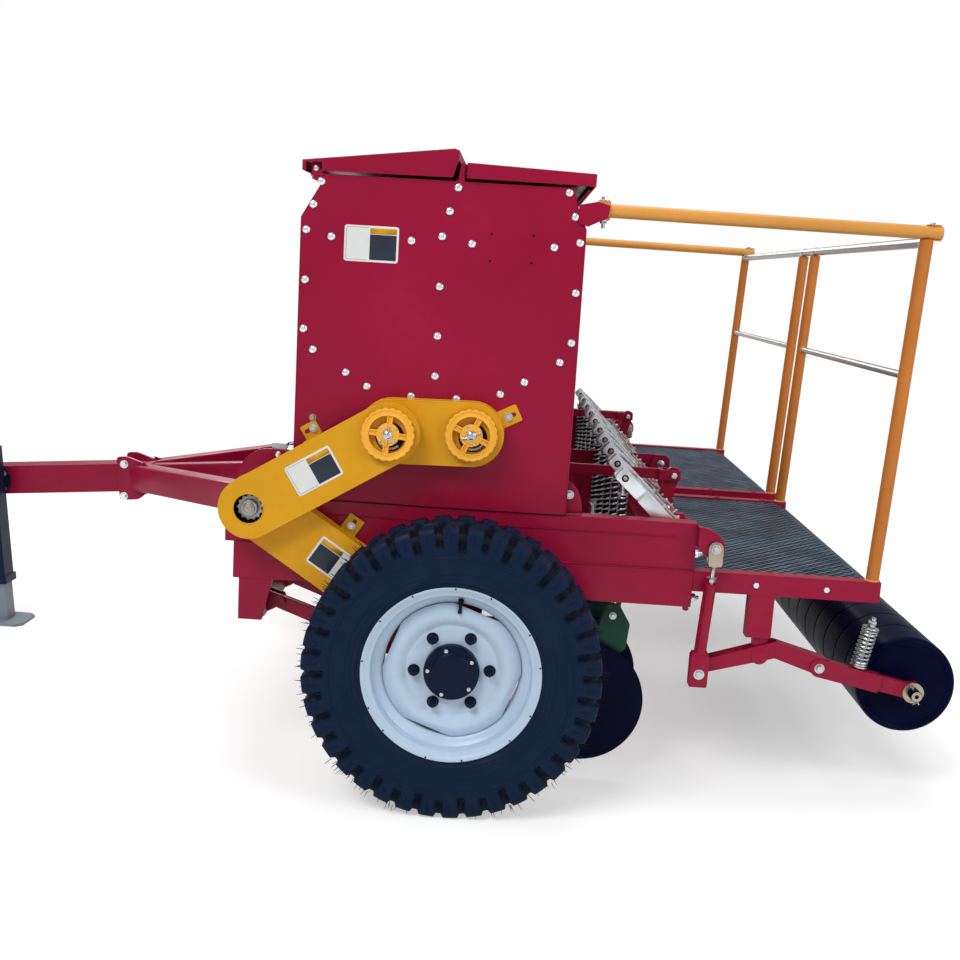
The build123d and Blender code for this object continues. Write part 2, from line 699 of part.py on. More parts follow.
def stadium(start, end, radius):
    """The face of a plate with round ends about two centres in a side plane."""
    run = Vector(end[0] - start[0], end[1] - start[1], 0)
    centre = ((start[0] + end[0]) / 2, (start[1] + end[1]) / 2)
    angle = math.degrees(math.atan2(run.Y, run.X))
    with Locations(Location((fore(centre[0]), centre[1], 0), (0, 0, angle))):
        SlotCenterToCenter(run.length, 2 * radius)


def guard(start, end, outer, radius, holes=()):
    """A pressed cover, open on its inboard side, with round holes in its face."""
    with BuildSketch(side_plane(outer)) as cover:
        stadium(start, end, radius)
        for centre, hole in holes:
            with Locations((fore(centre[0]), centre[1])):
                Circle(hole, mode=Mode.SUBTRACT)
    extrude(cover.sketch, amount=GUARD_DEPTH)
    with BuildSketch(side_plane(outer - GUARD_SHEET)) as inside:
        stadium(start, end, radius - GUARD_SHEET)
    extrude(inside.sketch, amount=GUARD_DEPTH, mode=Mode.SUBTRACT)


front_meter = (FRONT_OUTLET - 6, METER_Z)
rear_meter = (REAR_OUTLET, METER_Z + 4)
wheel_centre = (0.0, TYRE_R)
with BuildPart() as guard_lower:
    guard(wheel_centre, JACKSHAFT, guard_outer, GUARD_R, [(wheel_centre, 52.0), (JACKSHAFT, 14.0)])
finish(guard_lower, "guard_lower")
with BuildPart() as guard_upper:
    guard(JACKSHAFT, front_meter, upper_outer, GUARD_R, [(JACKSHAFT, SIGHT_HOLE_R), (front_meter, 14.0)])
finish(guard_upper, "guard_upper")
with BuildPart() as guard_rear:
    guard(front_meter, rear_meter, guard_outer, GUARD_R + 4, [(front_meter, 14.0), (rear_meter, 14.0)])
finish(guard_rear, "guard_rear")

with BuildPart() as handwheels:
    for centre, outer in ((front_meter, upper_outer), (rear_meter, guard_outer)):
        with BuildSketch(side_plane(outer + 8 + HANDWHEEL_THICK)):
            with Locations((fore(centre[0]), centre[1])):
                Circle(HANDWHEEL_R)
                Circle(HANDWHEEL_R - 20, mode=Mode.SUBTRACT)
                Rectangle(2 * HANDWHEEL_R - 34, 16)
                Rectangle(16, 2 * HANDWHEEL_R - 34)
                RegularPolygon(26, 8)
        extrude(amount=HANDWHEEL_THICK)
        spar(at(centre[0], FRAME_HALF + 0.5, centre[1]), at(centre[0], outer + 30, centre[1]), 10)
finish(handwheels, "handwheels")

with BuildPart() as jackshaft:
    spar(at(JACKSHAFT[0], FRAME_HALF, JACKSHAFT[1]), at(JACKSHAFT[0], upper_outer - 8, JACKSHAFT[1]), 12)
    spar(at(JACKSHAFT[0], FRAME_HALF, JACKSHAFT[1]), at(JACKSHAFT[0], FRAME_HALF + 16, JACKSHAFT[1]), 30)
    sprocket_face = guard_outer + GUARD_GAP + 26
    teeth = []
    for i in range(4 * SPROCKET_TEETH):
        reach = SPROCKET_R if i % 4 < 2 else SPROCKET_R - 6
        turn = 2 * math.pi * (i + 0.5) / (4 * SPROCKET_TEETH)
        teeth.append((JACKSHAFT[0] + reach * math.cos(turn), JACKSHAFT[1] + reach * math.sin(turn)))
    with BuildSketch(side_plane(sprocket_face)):
        outline(teeth)
    extrude(amount=8)
    spar(at(JACKSHAFT[0], sprocket_face, JACKSHAFT[1]), at(JACKSHAFT[0], sprocket_face + 14, JACKSHAFT[1]), 19)
finish(jackshaft, "jackshaft")

# ============================ rear brackets =================================
with BuildPart() as rear_brackets:
    # upright web along the middle, from the seat beam to the rear beam, clear of the shaft
    with BuildSketch(side_plane(WEB_Y + WEB_THICK)):
        outline([(-265, 757), (-265, 700), (-330, 612), (-612, 612), (-636, 640), (-640, 757)])
        with Locations((fore(ROCKSHAFT[0]), ROCKSHAFT[1])):
            Circle(ROCKSHAFT_R + WEB_CLEAR, mode=Mode.SUBTRACT)
    extrude(amount=WEB_THICK)
    # its rounded lug plate, and the one on the far side beam
    for y, step, lift in ((WEB_Y + WEB_THICK + LUG_THICK, 0, 0), (-FAR_LUG_Y, 34, 14)):
        low = BEAM_TOP + 0.5 if step else 632.0
        lug = [(-613, low), (-613, 716), (-630, 757), (-668, 757), (-683, 744), (-683, 722), (-672, low)]
        if step:
            lug = [(-300, low), (-300, 757 + lift), (-634, 757 + lift), (-648, 744 + lift), (-648, 720), (-638, 680)]
            lug += [(BEAM_REAR, 680), (BEAM_REAR, low)]
        with BuildSketch(side_plane(y)):
            outline(lug)
        extrude(amount=LUG_THICK)
finish(rear_brackets, "rear_brackets")

# =============================== platform ====================================
platform_front = BEAM_REAR - 1
frame_mid_z = PLATFORM_TOP - PLATFORM_HEIGHT / 2
inner_beam_y = PLATFORM_SPLIT + PLATFORM_BEAM / 2
outer_beam_y = FRAME_HALF - PLATFORM_BEAM / 2
with BuildPart() as platform_beams:
    for y in (-outer_beam_y, -inner_beam_y, inner_beam_y, outer_beam_y):
        front = at(platform_front, y, frame_mid_z)
        beam(front, at(PLATFORM_REAR, y, frame_mid_z), PLATFORM_BEAM, PLATFORM_HEIGHT, PLATFORM_WALL)
finish(platform_beams, "platform_beams")

tie_side = 40.0
tie_z = PLATFORM_TOP - 5 - PLATE_THICK - tie_side / 2
with BuildPart() as platform_ties:
    for side in (-1, 1):
        for station in (platform_front - tie_side / 2, PLATFORM_REAR + 60):
            inner_end = at(station, side * (inner_beam_y + PLATFORM_BEAM / 2), tie_z)
            outer_end = at(station, side * (outer_beam_y - PLATFORM_BEAM / 2), tie_z)
            beam(inner_end, outer_end, tie_side, tie_side, PLATFORM_WALL)
finish(platform_ties, "platform_ties")

plate_span = outer_beam_y - inner_beam_y - PLATFORM_BEAM
with BuildPart() as platform_plates:
    for side in (-1, 1):
        middle = side * (inner_beam_y + outer_beam_y) / 2
        with Locations(at((platform_front + PLATFORM_REAR) / 2, middle, PLATFORM_TOP - 5 - PLATE_THICK / 2)):
            Box(platform_front - PLATFORM_REAR, plate_span - 1, PLATE_THICK)
finish(platform_plates, "platform_plates")

rail_y = FRAME_HALF - 20
rail_drop = 8.0
with BuildPart() as rail_posts:
    for y, top in ((rail_y, RAIL_Z - rail_drop - RAIL_R - 1), (MID_POST_Y, TIE_Z - TIE_R)):
        lean = (POST_HEAD_X - POST_FOOT_X) * (top - PLATFORM_TOP) / (TIE_Z - PLATFORM_TOP)
        start = at(POST_FOOT_X + 0.4, y, PLATFORM_TOP - 10)
        pipe(start, at(POST_FOOT_X + lean, y, top), RAIL_R, RAIL_WALL)
    split(bisect_by=Plane.XY.offset(PLATFORM_TOP), keep=Keep.TOP)
    mirror(about=Plane.XZ)
finish(rail_posts, "rail_posts")

with BuildPart() as top_rails:
    rod(at(RAIL_FRONT, rail_y, RAIL_Z), at(RAIL_REAR, rail_y, RAIL_Z - rail_drop), RAIL_R)
    bore = RAIL_R - RAIL_WALL
    spar(at(RAIL_FRONT, rail_y, RAIL_Z), at(RAIL_REAR, rail_y, RAIL_Z - rail_drop), bore, mode=Mode.SUBTRACT)
    # flattened lug towards the hopper's bracket
    with Locations(at(RAIL_FRONT - 12, FRAME_HALF - 8, RAIL_Z)):
        Box(40, 16, 34)
    mirror(about=Plane.XZ)
finish(top_rails, "top_rails")

tie_reach = rail_y - RAIL_R - 1
with BuildPart() as rail_ties:
    pipe(at(POST_HEAD_X, -tie_reach, TIE_Z), at(POST_HEAD_X, tie_reach, TIE_Z), TIE_R, 2.5)
    share = (MID_RAIL_Z - PLATFORM_TOP) / (TIE_Z - PLATFORM_TOP)
    rail_x = POST_FOOT_X + (POST_HEAD_X - POST_FOOT_X) * share
    for side in (-1, 1):
        inner_end = side * (MID_POST_Y + RAIL_R + 1)
        outer_end = side * (rail_y - RAIL_R - 1)
        pipe(at(rail_x, inner_end, MID_RAIL_Z), at(rail_x, outer_end, MID_RAIL_Z), MID_RAIL_R, 2.5)
finish(rail_ties, "rail_ties")

with BuildPart() as rail_brackets:
    for side in (-1, 1):
        with BuildSketch(side_plane(side * (FRAME_HALF + 3) + 3)):
            outline([(-244, 1538), (-290, 1548), (-322, 1540), (-318, 1510), (-270, 1486), (-246, 1492)])
        extrude(amount=6)
finish(rail_brackets, "rail_brackets")

# ========================= roller, levers and links ==========================
roller_mid = at(-ROLLER_BACK, 0, ROLLER_AXLE_Z)
with BuildPart() as roller:
    with BuildSketch(Plane(origin=roller_mid, x_dir=(1, 0, 0), z_dir=(0, 0, 1))):
        with BuildLine():
            step = ROLLER_R - ROLLER_SHOULDER
            inside = ROLLER_HALF - ROLLER_END
            Polyline(
                (ROLLER_AXLE_R - 1, -ROLLER_HALF),
                (step, -ROLLER_HALF),
                (ROLLER_R, ROLLER_SHOULDER - ROLLER_HALF),
                (ROLLER_R, ROLLER_HALF - ROLLER_SHOULDER),
                (step, ROLLER_HALF),
                (ROLLER_AXLE_R - 1, ROLLER_HALF),
                (ROLLER_AXLE_R - 1, inside),
                (ROLLER_R - ROLLER_WALL, inside - ROLLER_SHOULDER),
                (ROLLER_R - ROLLER_WALL, ROLLER_SHOULDER - inside),
                (ROLLER_AXLE_R - 1, -inside),
                close=True,
            )
        make_face()
    revolve(axis=Axis(roller_mid, (0, 1, 0)))
    axle_tip = FRAME_HALF + 24
    for side in (-1, 1):
        stub = at(-ROLLER_BACK, side * (ROLLER_HALF - ROLLER_STUB), ROLLER_AXLE_Z)
        rod(stub, at(-ROLLER_BACK, side * axle_tip, ROLLER_AXLE_Z), ROLLER_AXLE_R)
finish(roller, "roller")

with BuildPart() as roller_struts:
    for side in (-1, 1):
        y = side * (FRAME_HALF - STRUT_THICK / 2)
        beam_low = PLATFORM_TOP - PLATFORM_HEIGHT
        middle = STRUT_FRONT - STRUT_WIDTH / 2
        with Locations(at(middle, y, (beam_low + 450) / 2)):
            Box(STRUT_WIDTH, STRUT_THICK, beam_low - 450)
            Box(STRUT_WIDTH - 8, STRUT_THICK - 8, beam_low - 450, mode=Mode.SUBTRACT)
        with BuildSketch(side_plane(y + 11)):
            pin_x, pin_z = LEVER_PIN
            flank = pin_z - 8
            outline([(pin_x + 16, flank), (pin_x + 20, 450), (pin_x - 20, 450), (pin_x - 16, flank), (pin_x, pin_z - 16)])
            with Locations((fore(LEVER_PIN[0]), LEVER_PIN[1])):
                Circle(9 + RUNNING_GAP, mode=Mode.SUBTRACT)
        extrude(amount=22)
finish(roller_struts, "roller_struts")

with BuildPart() as roller_levers:
    half = LEVER_DEPTH / 2
    lever_y = FRAME_HALF - STRUT_THICK / 2
    with BuildSketch(side_plane(FRAME_HALF)):
        outline(
            [
                (LEVER_FRONT[0] + 12, LEVER_FRONT[1] - half + 4),
                (LEVER_FRONT[0] - 22, LEVER_FRONT[1] + half + 9),
                (LEVER_APEX[0] + 2, LEVER_APEX[1] + half),
                (LEVER_BOLT[0] - 18, LEVER_BOLT[1] + half + 4),
                (LEVER_BOLT[0] - 18, LEVER_BOLT[1] - half - 6),
                (LEVER_APEX[0], LEVER_APEX[1] - half - 3),
            ]
        )
    extrude(amount=STRUT_THICK)
    # trough that the strut's lug stands in
    with Locations(at(LEVER_PIN[0], lever_y, LEVER_PIN[1] + 40)):
        Box(2 * 46, 26, 80 + 2 * 26, mode=Mode.SUBTRACT)
    rod(at(LEVER_PIN[0], lever_y - STRUT_THICK / 2, LEVER_PIN[1]), at(LEVER_PIN[0], FRAME_HALF, LEVER_PIN[1]), 9)
    # pin for the link's fork, standing out of the lever's front end
    pin_tip = LINK_Y + LINK_FORK / 2 + 8
    spar(at(LEVER_FRONT[0], lever_y, LEVER_FRONT[1]), at(LEVER_FRONT[0], pin_tip, LEVER_FRONT[1]), FRONT_PIN_R)
    # tail arm to the roller's axle
    tail = at(-ROLLER_BACK, lever_y, ROLLER_AXLE_Z)
    beam(at(LEVER_BOLT[0] + 10, lever_y, LEVER_BOLT[1] + 1), tail, 24, 40)
    rod(tail - Vector(0, 12, 0), tail + Vector(0, 12, 0), 24)
    rod(tail - Vector(0, 13, 0), tail + Vector(0, 13, 0), ROLLER_AXLE_R + RUNNING_GAP, mode=Mode.SUBTRACT)
    mirror(about=Plane.XZ)
finish(roller_levers, "roller_levers")

with BuildPart() as roller_springs:
    spar(at(-1074, lever_y, 386), at(-1094, lever_y, 494), 18)
    spar(at(-1071.5, lever_y, 379), at(-1098, lever_y, 520), 7)
    mirror(about=Plane.XZ)
finish(roller_springs, "roller_springs")

with BuildPart() as link_brackets:
    with BuildSketch(side_plane(LINK_Y + 7)):
        with BuildLine():
            Line((fore(BEAM_REAR + 30), BEAM_TOP - 2), (fore(BEAM_REAR + 30), 640))
            Line((fore(BEAM_REAR + 30), 640), (fore(LINK_BOLT[0]), LINK_BOLT[1] - 18))
            Line((fore(LINK_BOLT[0]), LINK_BOLT[1] - 18), (fore(LINK_BOLT[0] - 18), LINK_BOLT[1]))
            RadiusArc((fore(LINK_BOLT[0] - 18), LINK_BOLT[1]), (fore(BEAM_REAR + 30), BEAM_TOP - 2), 115)
        make_face()
    extrude(amount=14)
    # spacer to the side beam's outer face
    with Locations(at(BEAM_REAR + 15, (FRAME_HALF + LINK_Y - 7) / 2, 690)):
        Box(26, LINK_Y - 7 - FRAME_HALF, 80)
    mirror(about=Plane.XZ)
finish(link_brackets, "link_brackets")

slot_low = LEVER_FRONT[1] - 26
slot_high = LEVER_FRONT[1] + 26
with BuildPart() as roller_links:
    # upper clevis about the bracket, threaded rod, tube and lower fork
    clevis_foot = LINK_BOLT[1] - 60
    for step in (-12, 12):
        with BuildSketch(side_plane(LINK_Y + step + 4)):
            outline(
                [
                    (LINK_BOLT[0] + 17, LINK_BOLT[1] + 18),
                    (LINK_BOLT[0] + 13, clevis_foot),
                    (LINK_BOLT[0] - 13, clevis_foot),
                    (LINK_BOLT[0] - 17, LINK_BOLT[1] + 18),
                ]
            )
        extrude(amount=8)
    with Locations(at(LINK_BOLT[0], LINK_Y, clevis_foot + 6)):
        Box(26, 32, 12)
    rod_top = at(LINK_BOLT[0], LINK_Y, clevis_foot + 4)
    tube_top = at(LINK_BOLT[0] + 4, LINK_Y, LINK_BOLT[1] - 98)
    fork_top = at(LEVER_FRONT[0], LINK_Y, slot_high + 26)
    spar(rod_top, tube_top, 7.5)
    rod(tube_top, fork_top, LINK_TUBE_R)
    with Locations(at(LEVER_FRONT[0], LINK_Y, slot_high + 20)):
        Box(46, LINK_FORK, 14)
    fork_low = slot_low - 12
    for step in (-1, 1):
        with Locations(at(LEVER_FRONT[0], LINK_Y + step * (LINK_FORK / 2 - 3), fork_low)):
            Box(46, 6, slot_high + 14 - fork_low, align=(Align.CENTER, Align.CENTER, Align.MIN))
    # slots that give the lever's pin its travel
    with Locations(at(LEVER_FRONT[0], LINK_Y, (slot_low + slot_high) / 2)):
        Box(2 * FRONT_PIN_R + 12, LINK_FORK + 2, slot_high - slot_low, mode=Mode.SUBTRACT)
    mirror(about=Plane.XZ)
finish(roller_links, "roller_links")

# ======================= opener gang and its linkage =========================
shaft_end = beam_inner - 6
rear_beam_top = CROSS_STATIONS["rear"][2]
lean = math.radians(CRANK_LEAN)
crank_top = (ROCKSHAFT[0] - CRANK_LENGTH * math.sin(lean), ROCKSHAFT[1] + CRANK_LENGTH * math.cos(lean))
crank_travel = 2 * CRANK_LENGTH * math.sin(lean)
BEARING_Y = (-1060.0, 0.0, 1060.0)

with BuildPart() as rockshaft_bearings:
    for y in BEARING_Y:
        with BuildSketch(side_plane(y + 12)):
            outline(
                [
                    (ROCKSHAFT[0] - 36, rear_beam_top),
                    (ROCKSHAFT[0] - 36, ROCKSHAFT[1] + 14),
                    (ROCKSHAFT[0] - 20, ROCKSHAFT[1] + 44),
                    (ROCKSHAFT[0] + 20, ROCKSHAFT[1] + 44),
                    (ROCKSHAFT[0] + 40, ROCKSHAFT[1] + 14),
                    (ROCKSHAFT[0] + 40, rear_beam_top),
                ]
            )
            with Locations((fore(ROCKSHAFT[0]), ROCKSHAFT[1])):
                Circle(ROCKSHAFT_R + RUNNING_GAP, mode=Mode.SUBTRACT)
        extrude(amount=24)
finish(rockshaft_bearings, "rockshaft_bearings")

with BuildPart() as rockshaft:
    shaft_start = at(ROCKSHAFT[0], -shaft_end, ROCKSHAFT[1])
    shaft_stop = at(ROCKSHAFT[0], shaft_end, ROCKSHAFT[1])
    rod(shaft_start, shaft_stop, ROCKSHAFT_R)
    crank_axis = Plane(
        origin=at(ROCKSHAFT[0], 0, ROCKSHAFT[1]),
        x_dir=(0, 1, 0),
        z_dir=(crank_top[0] - ROCKSHAFT[0], 0, crank_top[1] - ROCKSHAFT[1]),
    )
    with Locations(crank_axis):
        with Locations((-CRANK_Y, 0, 0), (CRANK_Y, 0, 0)):
            Box(16, 52, 2 * ROCKSHAFT_R + 12)
            Box(16, 40, CRANK_LENGTH, align=(Align.CENTER, Align.CENTER, Align.MIN))
    for side in (-1, 1):
        eye = at(crank_top[0], side * CRANK_Y, crank_top[1])
        rod(eye - Vector(0, 8, 0), eye + Vector(0, 8, 0), 22)
        # the eye is bored well over its pin's size, for the link's drift
        rod(eye - Vector(0, 9, 0), eye + Vector(0, 9, 0), 13, mode=Mode.SUBTRACT)
    spar(shaft_start, shaft_stop, ROCKSHAFT_R - 5, mode=Mode.SUBTRACT)
finish(rockshaft, "rockshaft")

barrel_rear = -40.0
barrel_front = 350.0
rod_front = 578.0
with BuildPart() as lift_barrels:
    for side in (-1, 1):
        y = side * CRANK_Y
        barrel_mouth = at(barrel_front, y, crank_top[1])
        rod(at(barrel_rear, y, crank_top[1]), barrel_mouth, 27)
        rod(at(barrel_rear + 16, y, crank_top[1]), barrel_mouth, 14.1, mode=Mode.SUBTRACT)
        # pull bar back to the clevis about the crank's eye
        with Locations(at((barrel_rear + crank_top[0] + 34) / 2, y, crank_top[1])):
            Box(barrel_rear - crank_top[0] - 34 + 4, 16, 30)
        with Locations(at(crank_top[0] + 38, y, crank_top[1])):
            Box(12, 50, 30)
        for step in (-1, 1):
            with Locations(at(crank_top[0] + 12, y + step * 21, crank_top[1])):
                Box(64, 8, 30)
        rod(at(crank_top[0], y - 28, crank_top[1]), at(crank_top[0], y + 28, crank_top[1]), 8)
finish(lift_barrels, "lift_barrels")

lug_half = 17.0
with BuildPart() as lift_rods:
    for side in (-1, 1):
        y = side * CRANK_Y
        rod(at(barrel_front - 150, y, crank_top[1]), at(rod_front - 20, y, crank_top[1]), 14)
        with Locations(at(rod_front, y, crank_top[1])):
            Box(44, 2 * lug_half, 44)
finish(lift_rods, "lift_rods")

front_beam_top = CROSS_STATIONS["front"][2]
with BuildPart() as lift_lugs:
    for side in (-1, 1):
        for step in (-1, 1):
            with BuildSketch(side_plane(side * CRANK_Y + step * (lug_half + 5) + 5)):
                outline(
                    [
                        (rod_front + 30, front_beam_top),
                        (rod_front + 26, crank_top[1]),
                        (rod_front + 12, crank_top[1] + 26),
                        (rod_front - 16, crank_top[1] + 26),
                        (rod_front - 28, crank_top[1] - 8),
                        (rod_front - 40, front_beam_top),
                    ]
                )
            extrude(amount=10)
finish(lift_lugs, "lift_lugs")

lever_run = Vector(LEVER_TIP[0] - ROCKSHAFT[0], 0, LEVER_TIP[1] - ROCKSHAFT[1])
with BuildPart() as pressure_levers:
    for y in UNIT_Y:
        foot = at(ROCKSHAFT[0], y, ROCKSHAFT[1])
        with Locations(Plane(origin=foot, x_dir=lever_run, z_dir=lever_run.cross(Vector(0, 1, 0)))):
            length = lever_run.length + 16
            Box(length, LEVER_WIDTH, LEVER_HEIGHT, align=(Align.MIN, Align.CENTER, Align.CENTER))
            # saddle that sits on the shaft
            with Locations((ROCKSHAFT_R + 6, 0, 0)):
                Box(2 * ROCKSHAFT_R, LEVER_WIDTH, 2 * ROCKSHAFT_R, align=(Align.MAX, Align.CENTER, Align.CENTER))
            with Locations((ROCKSHAFT_R + 20, 0, -LEVER_SHEET)):
                Box(
                    lever_run.length,
                    LEVER_WIDTH - 2 * LEVER_SHEET,
                    LEVER_HEIGHT,
                    align=(Align.MIN, Align.CENTER, Align.CENTER),
                    mode=Mode.SUBTRACT,
                )
            behind = (Align.MAX, Align.CENTER, Align.CENTER)
            Box(4 * ROCKSHAFT_R, LEVER_WIDTH + 2, 4 * ROCKSHAFT_R, align=behind, mode=Mode.SUBTRACT)
        end = Vector(0, LEVER_WIDTH / 2 + 1, 0)
        rod(foot - end, foot + end, ROCKSHAFT_R, mode=Mode.SUBTRACT)
finish(pressure_levers, "pressure_levers")

with BuildPart() as pressure_rods:
    for y in UNIT_Y:
        tip = at(LEVER_TIP[0], y, LEVER_TIP[1])
        rod(tip - Vector(0, 16, 0), tip + Vector(0, 16, 0), TRUNNION_R)
        spar(at(LEVER_TIP[0], y, LEVER_TIP[1]), at(LEVER_TIP[0], y, ROD_EYE_Z + 10), ROD_R)
        spar(at(LEVER_TIP[0], y, SPRING_BOTTOM), at(LEVER_TIP[0], y, SPRING_BOTTOM - 6), SPRING_R + 3)
finish(pressure_rods, "pressure_rods")

with BuildPart() as pressure_springs:
    for y in UNIT_Y:
        low = at(LEVER_TIP[0], y, SPRING_BOTTOM)
        high = at(LEVER_TIP[0], y, SPRING_TOP)
        spar(low, high, SPRING_R)
        spar(low, high, ROD_R, mode=Mode.SUBTRACT)
finish(pressure_springs, "pressure_springs")

boot_front = DISC_X + 30
with BuildPart() as drag_arms:
    half = ARM_HEIGHT / 2
    for y in UNIT_Y:
        with BuildSketch(side_plane(y + ARM_THICK / 2)):
            outline(
                [
                    (ARM_PIVOT[0], ARM_PIVOT[1] + 18),
                    (ARM_PIVOT[0] + 12, ARM_PIVOT[1] + 10),
                    (ARM_PIVOT[0] + 14, ARM_PIVOT[1] - 10),
                    (ARM_PIVOT[0] + 6, ARM_PIVOT[1] - 18),
                    (ARM_KNEE[0] + 6, ARM_KNEE[1] - half),
                    (boot_front, ARM_KNEE[1] - half),
                    (boot_front, ARM_KNEE[1] + half),
                    (ARM_KNEE[0], ARM_KNEE[1] + half),
                ]
            )
            with Locations((fore(ARM_PIVOT[0]), ARM_PIVOT[1])):
                Circle(8 + RUNNING_GAP, mode=Mode.SUBTRACT)
        extrude(amount=ARM_THICK)
finish(drag_arms, "drag_arms")

with BuildPart() as opener_boots:
    for y in UNIT_Y:
        # casting from the arm's end to the disc's hub, with the seed cup and the rod's pad above
        with BuildSketch(side_plane(y + BOOT_THICK / 2)):
            outline(
                [
                    (boot_front, 298),
                    (boot_front, 380),
                    (-324, 468),
                    (-354, 468),
                    (-380, 430),
                    (-402, 486),
                    (-438, 486),
                    (-466, 440),
                    (-460, 372),
                    (-400, 316),
                    (DISC_X - 24, DISC_Z - 26),
                    (DISC_X + 24, DISC_Z - 26),
                ]
            )
        extrude(amount=BOOT_THICK)
finish(opener_boots, "opener_boots")

for number, y in enumerate(UNIT_Y, start=1):
    outboard = math.copysign(1, y)
    disc_mid = at(DISC_X, y + outboard * DISC_STEP, DISC_Z)
    hub_face = at(DISC_X, y + outboard * (BOOT_THICK / 2 + DISC_HUB_GAP), DISC_Z)
    hub_length = DISC_STEP - BOOT_THICK / 2 - DISC_HUB_GAP + DISC_THICK / 2 + 8
    with BuildPart() as opener_disc:
        with Locations(disc_mid):
            Cylinder(DISC_R, DISC_THICK, rotation=(90, 0, 0))
        spar(hub_face, hub_face + Vector(0, outboard * hub_length, 0), DISC_HUB_R)
    finish(opener_disc, f"opener_disc_{number:02d}")
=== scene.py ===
"""Looks of the trailed seed drill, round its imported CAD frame."""

import json
import math
import random

import bmesh
import bpy
from mathutils import Matrix, Vector


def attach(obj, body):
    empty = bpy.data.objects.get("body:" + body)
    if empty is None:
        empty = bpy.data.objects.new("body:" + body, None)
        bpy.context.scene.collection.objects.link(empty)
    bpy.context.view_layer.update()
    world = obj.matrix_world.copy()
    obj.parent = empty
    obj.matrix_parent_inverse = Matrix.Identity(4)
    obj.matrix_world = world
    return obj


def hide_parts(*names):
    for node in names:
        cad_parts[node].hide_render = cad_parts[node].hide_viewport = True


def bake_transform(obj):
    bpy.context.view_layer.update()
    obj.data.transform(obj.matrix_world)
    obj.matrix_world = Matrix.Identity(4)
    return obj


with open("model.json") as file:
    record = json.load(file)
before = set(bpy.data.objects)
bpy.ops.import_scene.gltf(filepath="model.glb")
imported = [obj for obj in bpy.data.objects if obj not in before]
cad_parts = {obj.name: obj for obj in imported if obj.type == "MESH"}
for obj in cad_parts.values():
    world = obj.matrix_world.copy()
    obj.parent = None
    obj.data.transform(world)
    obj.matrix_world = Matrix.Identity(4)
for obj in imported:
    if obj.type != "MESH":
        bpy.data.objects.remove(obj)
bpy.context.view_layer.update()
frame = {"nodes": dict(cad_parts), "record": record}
random.seed(4)

AXLE = -0.375  # row X of the wheel axle: stations are distances forward of it
HALF = 1.215  # outer face of the end plates and side beams
TAU = 2 * math.pi
UP, LEFT, BACK = (0, 0, 1), (0, 1, 0), (-1, 0, 0)


def at(station, y, z):
    """A row-frame point from its distance forward of the axle, its Y and its height."""
    return Vector((AXLE + station, y, z))


def beside(spot, y):
    """A (station, height) point at one Y."""
    return at(spot[0], y, spot[1])


def placed(outline, y):
    """An outline of (station, height) points at one Y."""
    return [beside(spot, y) for spot in outline]


def sides():
    """Right, then left: the sign of its Y, its name and the direction outwards."""
    for side, tag in ((-1, "right"), (1, "left")):
        yield side, tag, Vector((0, side, 0))


def turned(centre, angle, radius, depth=0.0):
    """A point round a centre, at an angle from upright, and shifted along Y by depth."""
    return centre + Vector((math.sin(angle) * radius, depth, math.cos(angle) * radius))

# ================================ materials ==================================
def linear(value):
    """One sRGB channel, 0 to 255, as linear light."""
    c = value / 255
    return c / 12.92 if c <= 0.04045 else ((c + 0.055) / 1.055) ** 2.4


def rgb(r, g, b):
    return (linear(r), linear(g), linear(b))


class Tree:
    """A short way to build a node tree."""

    def __init__(self, tree):
        self.tree = tree

    def feed(self, value, socket):
        """A socket takes another node's output or a plain value."""
        if isinstance(value, bpy.types.NodeSocket):
            self.tree.links.new(value, socket)
        else:
            socket.default_value = value

    def add(self, kind, *values, **settings):
        """A new node: values go to its sockets in order, settings to the socket or property named."""
        node = self.tree.nodes.new("ShaderNode" + kind)
        for key, value in settings.items():
            name = key.replace("_", " ")
            if name in node.inputs:
                self.feed(value, node.inputs[name])
            else:
                setattr(node, key, value)
        for socket, value in zip(node.inputs, values):
            self.feed(value, socket)
        return node

    def math(self, kind, a, b):
        return self.add("Math", a, b, operation=kind).outputs[0]


class Look(Tree):
    """One material's node tree, round its main shader."""

    def __init__(self, name):
        self.material = bpy.data.materials.new(name)
        self.material.use_nodes = True
        super().__init__(self.material.node_tree)
        self.shader = self.tree.nodes["Principled BSDF"]
        self.coords = self.add("TexCoord").outputs["Object"]

    def put(self, **sockets):
        """Values or outputs for the shader's own sockets."""
        for key, value in sockets.items():
            self.feed(value, self.shader.inputs[key.replace("_", " ")])

    def noise(self, scale, detail=4.0, rough=0.55, vector=None):
        node = self.add("TexNoise", vector or self.coords, Scale=scale, Detail=detail, Roughness=rough)
        return node.outputs["Fac"]

    def ramp(self, fac, low, high, a=0.0, b=1.0):
        return self.add("MapRange", fac, low, high, a, b).outputs["Result"]

    def vector(self, kind, *values):
        return self.add("VectorMath", *values, operation=kind).outputs["Vector"]

    def height(self, vector):
        return self.add("SeparateXYZ", vector).outputs["Z"]

    def mix(self, fac, a, b):
        node = self.add("Mix", fac, data_type="RGBA")
        for i, value in ((6, a), (7, b)):
            self.feed((*value, 1.0) if isinstance(value, tuple) else value, node.inputs[i])
        return node.outputs[2]

    def bump(self, height, distance, strength=1.0, round_edges=0.0):
        node = self.add("Bump", Height=height, Distance=distance, Strength=strength)
        if round_edges:
            bevel = self.add("Bevel", samples=6, Radius=round_edges)
            self.feed(bevel.outputs["Normal"], node.inputs["Normal"])
        self.put(Normal=node.outputs["Normal"])


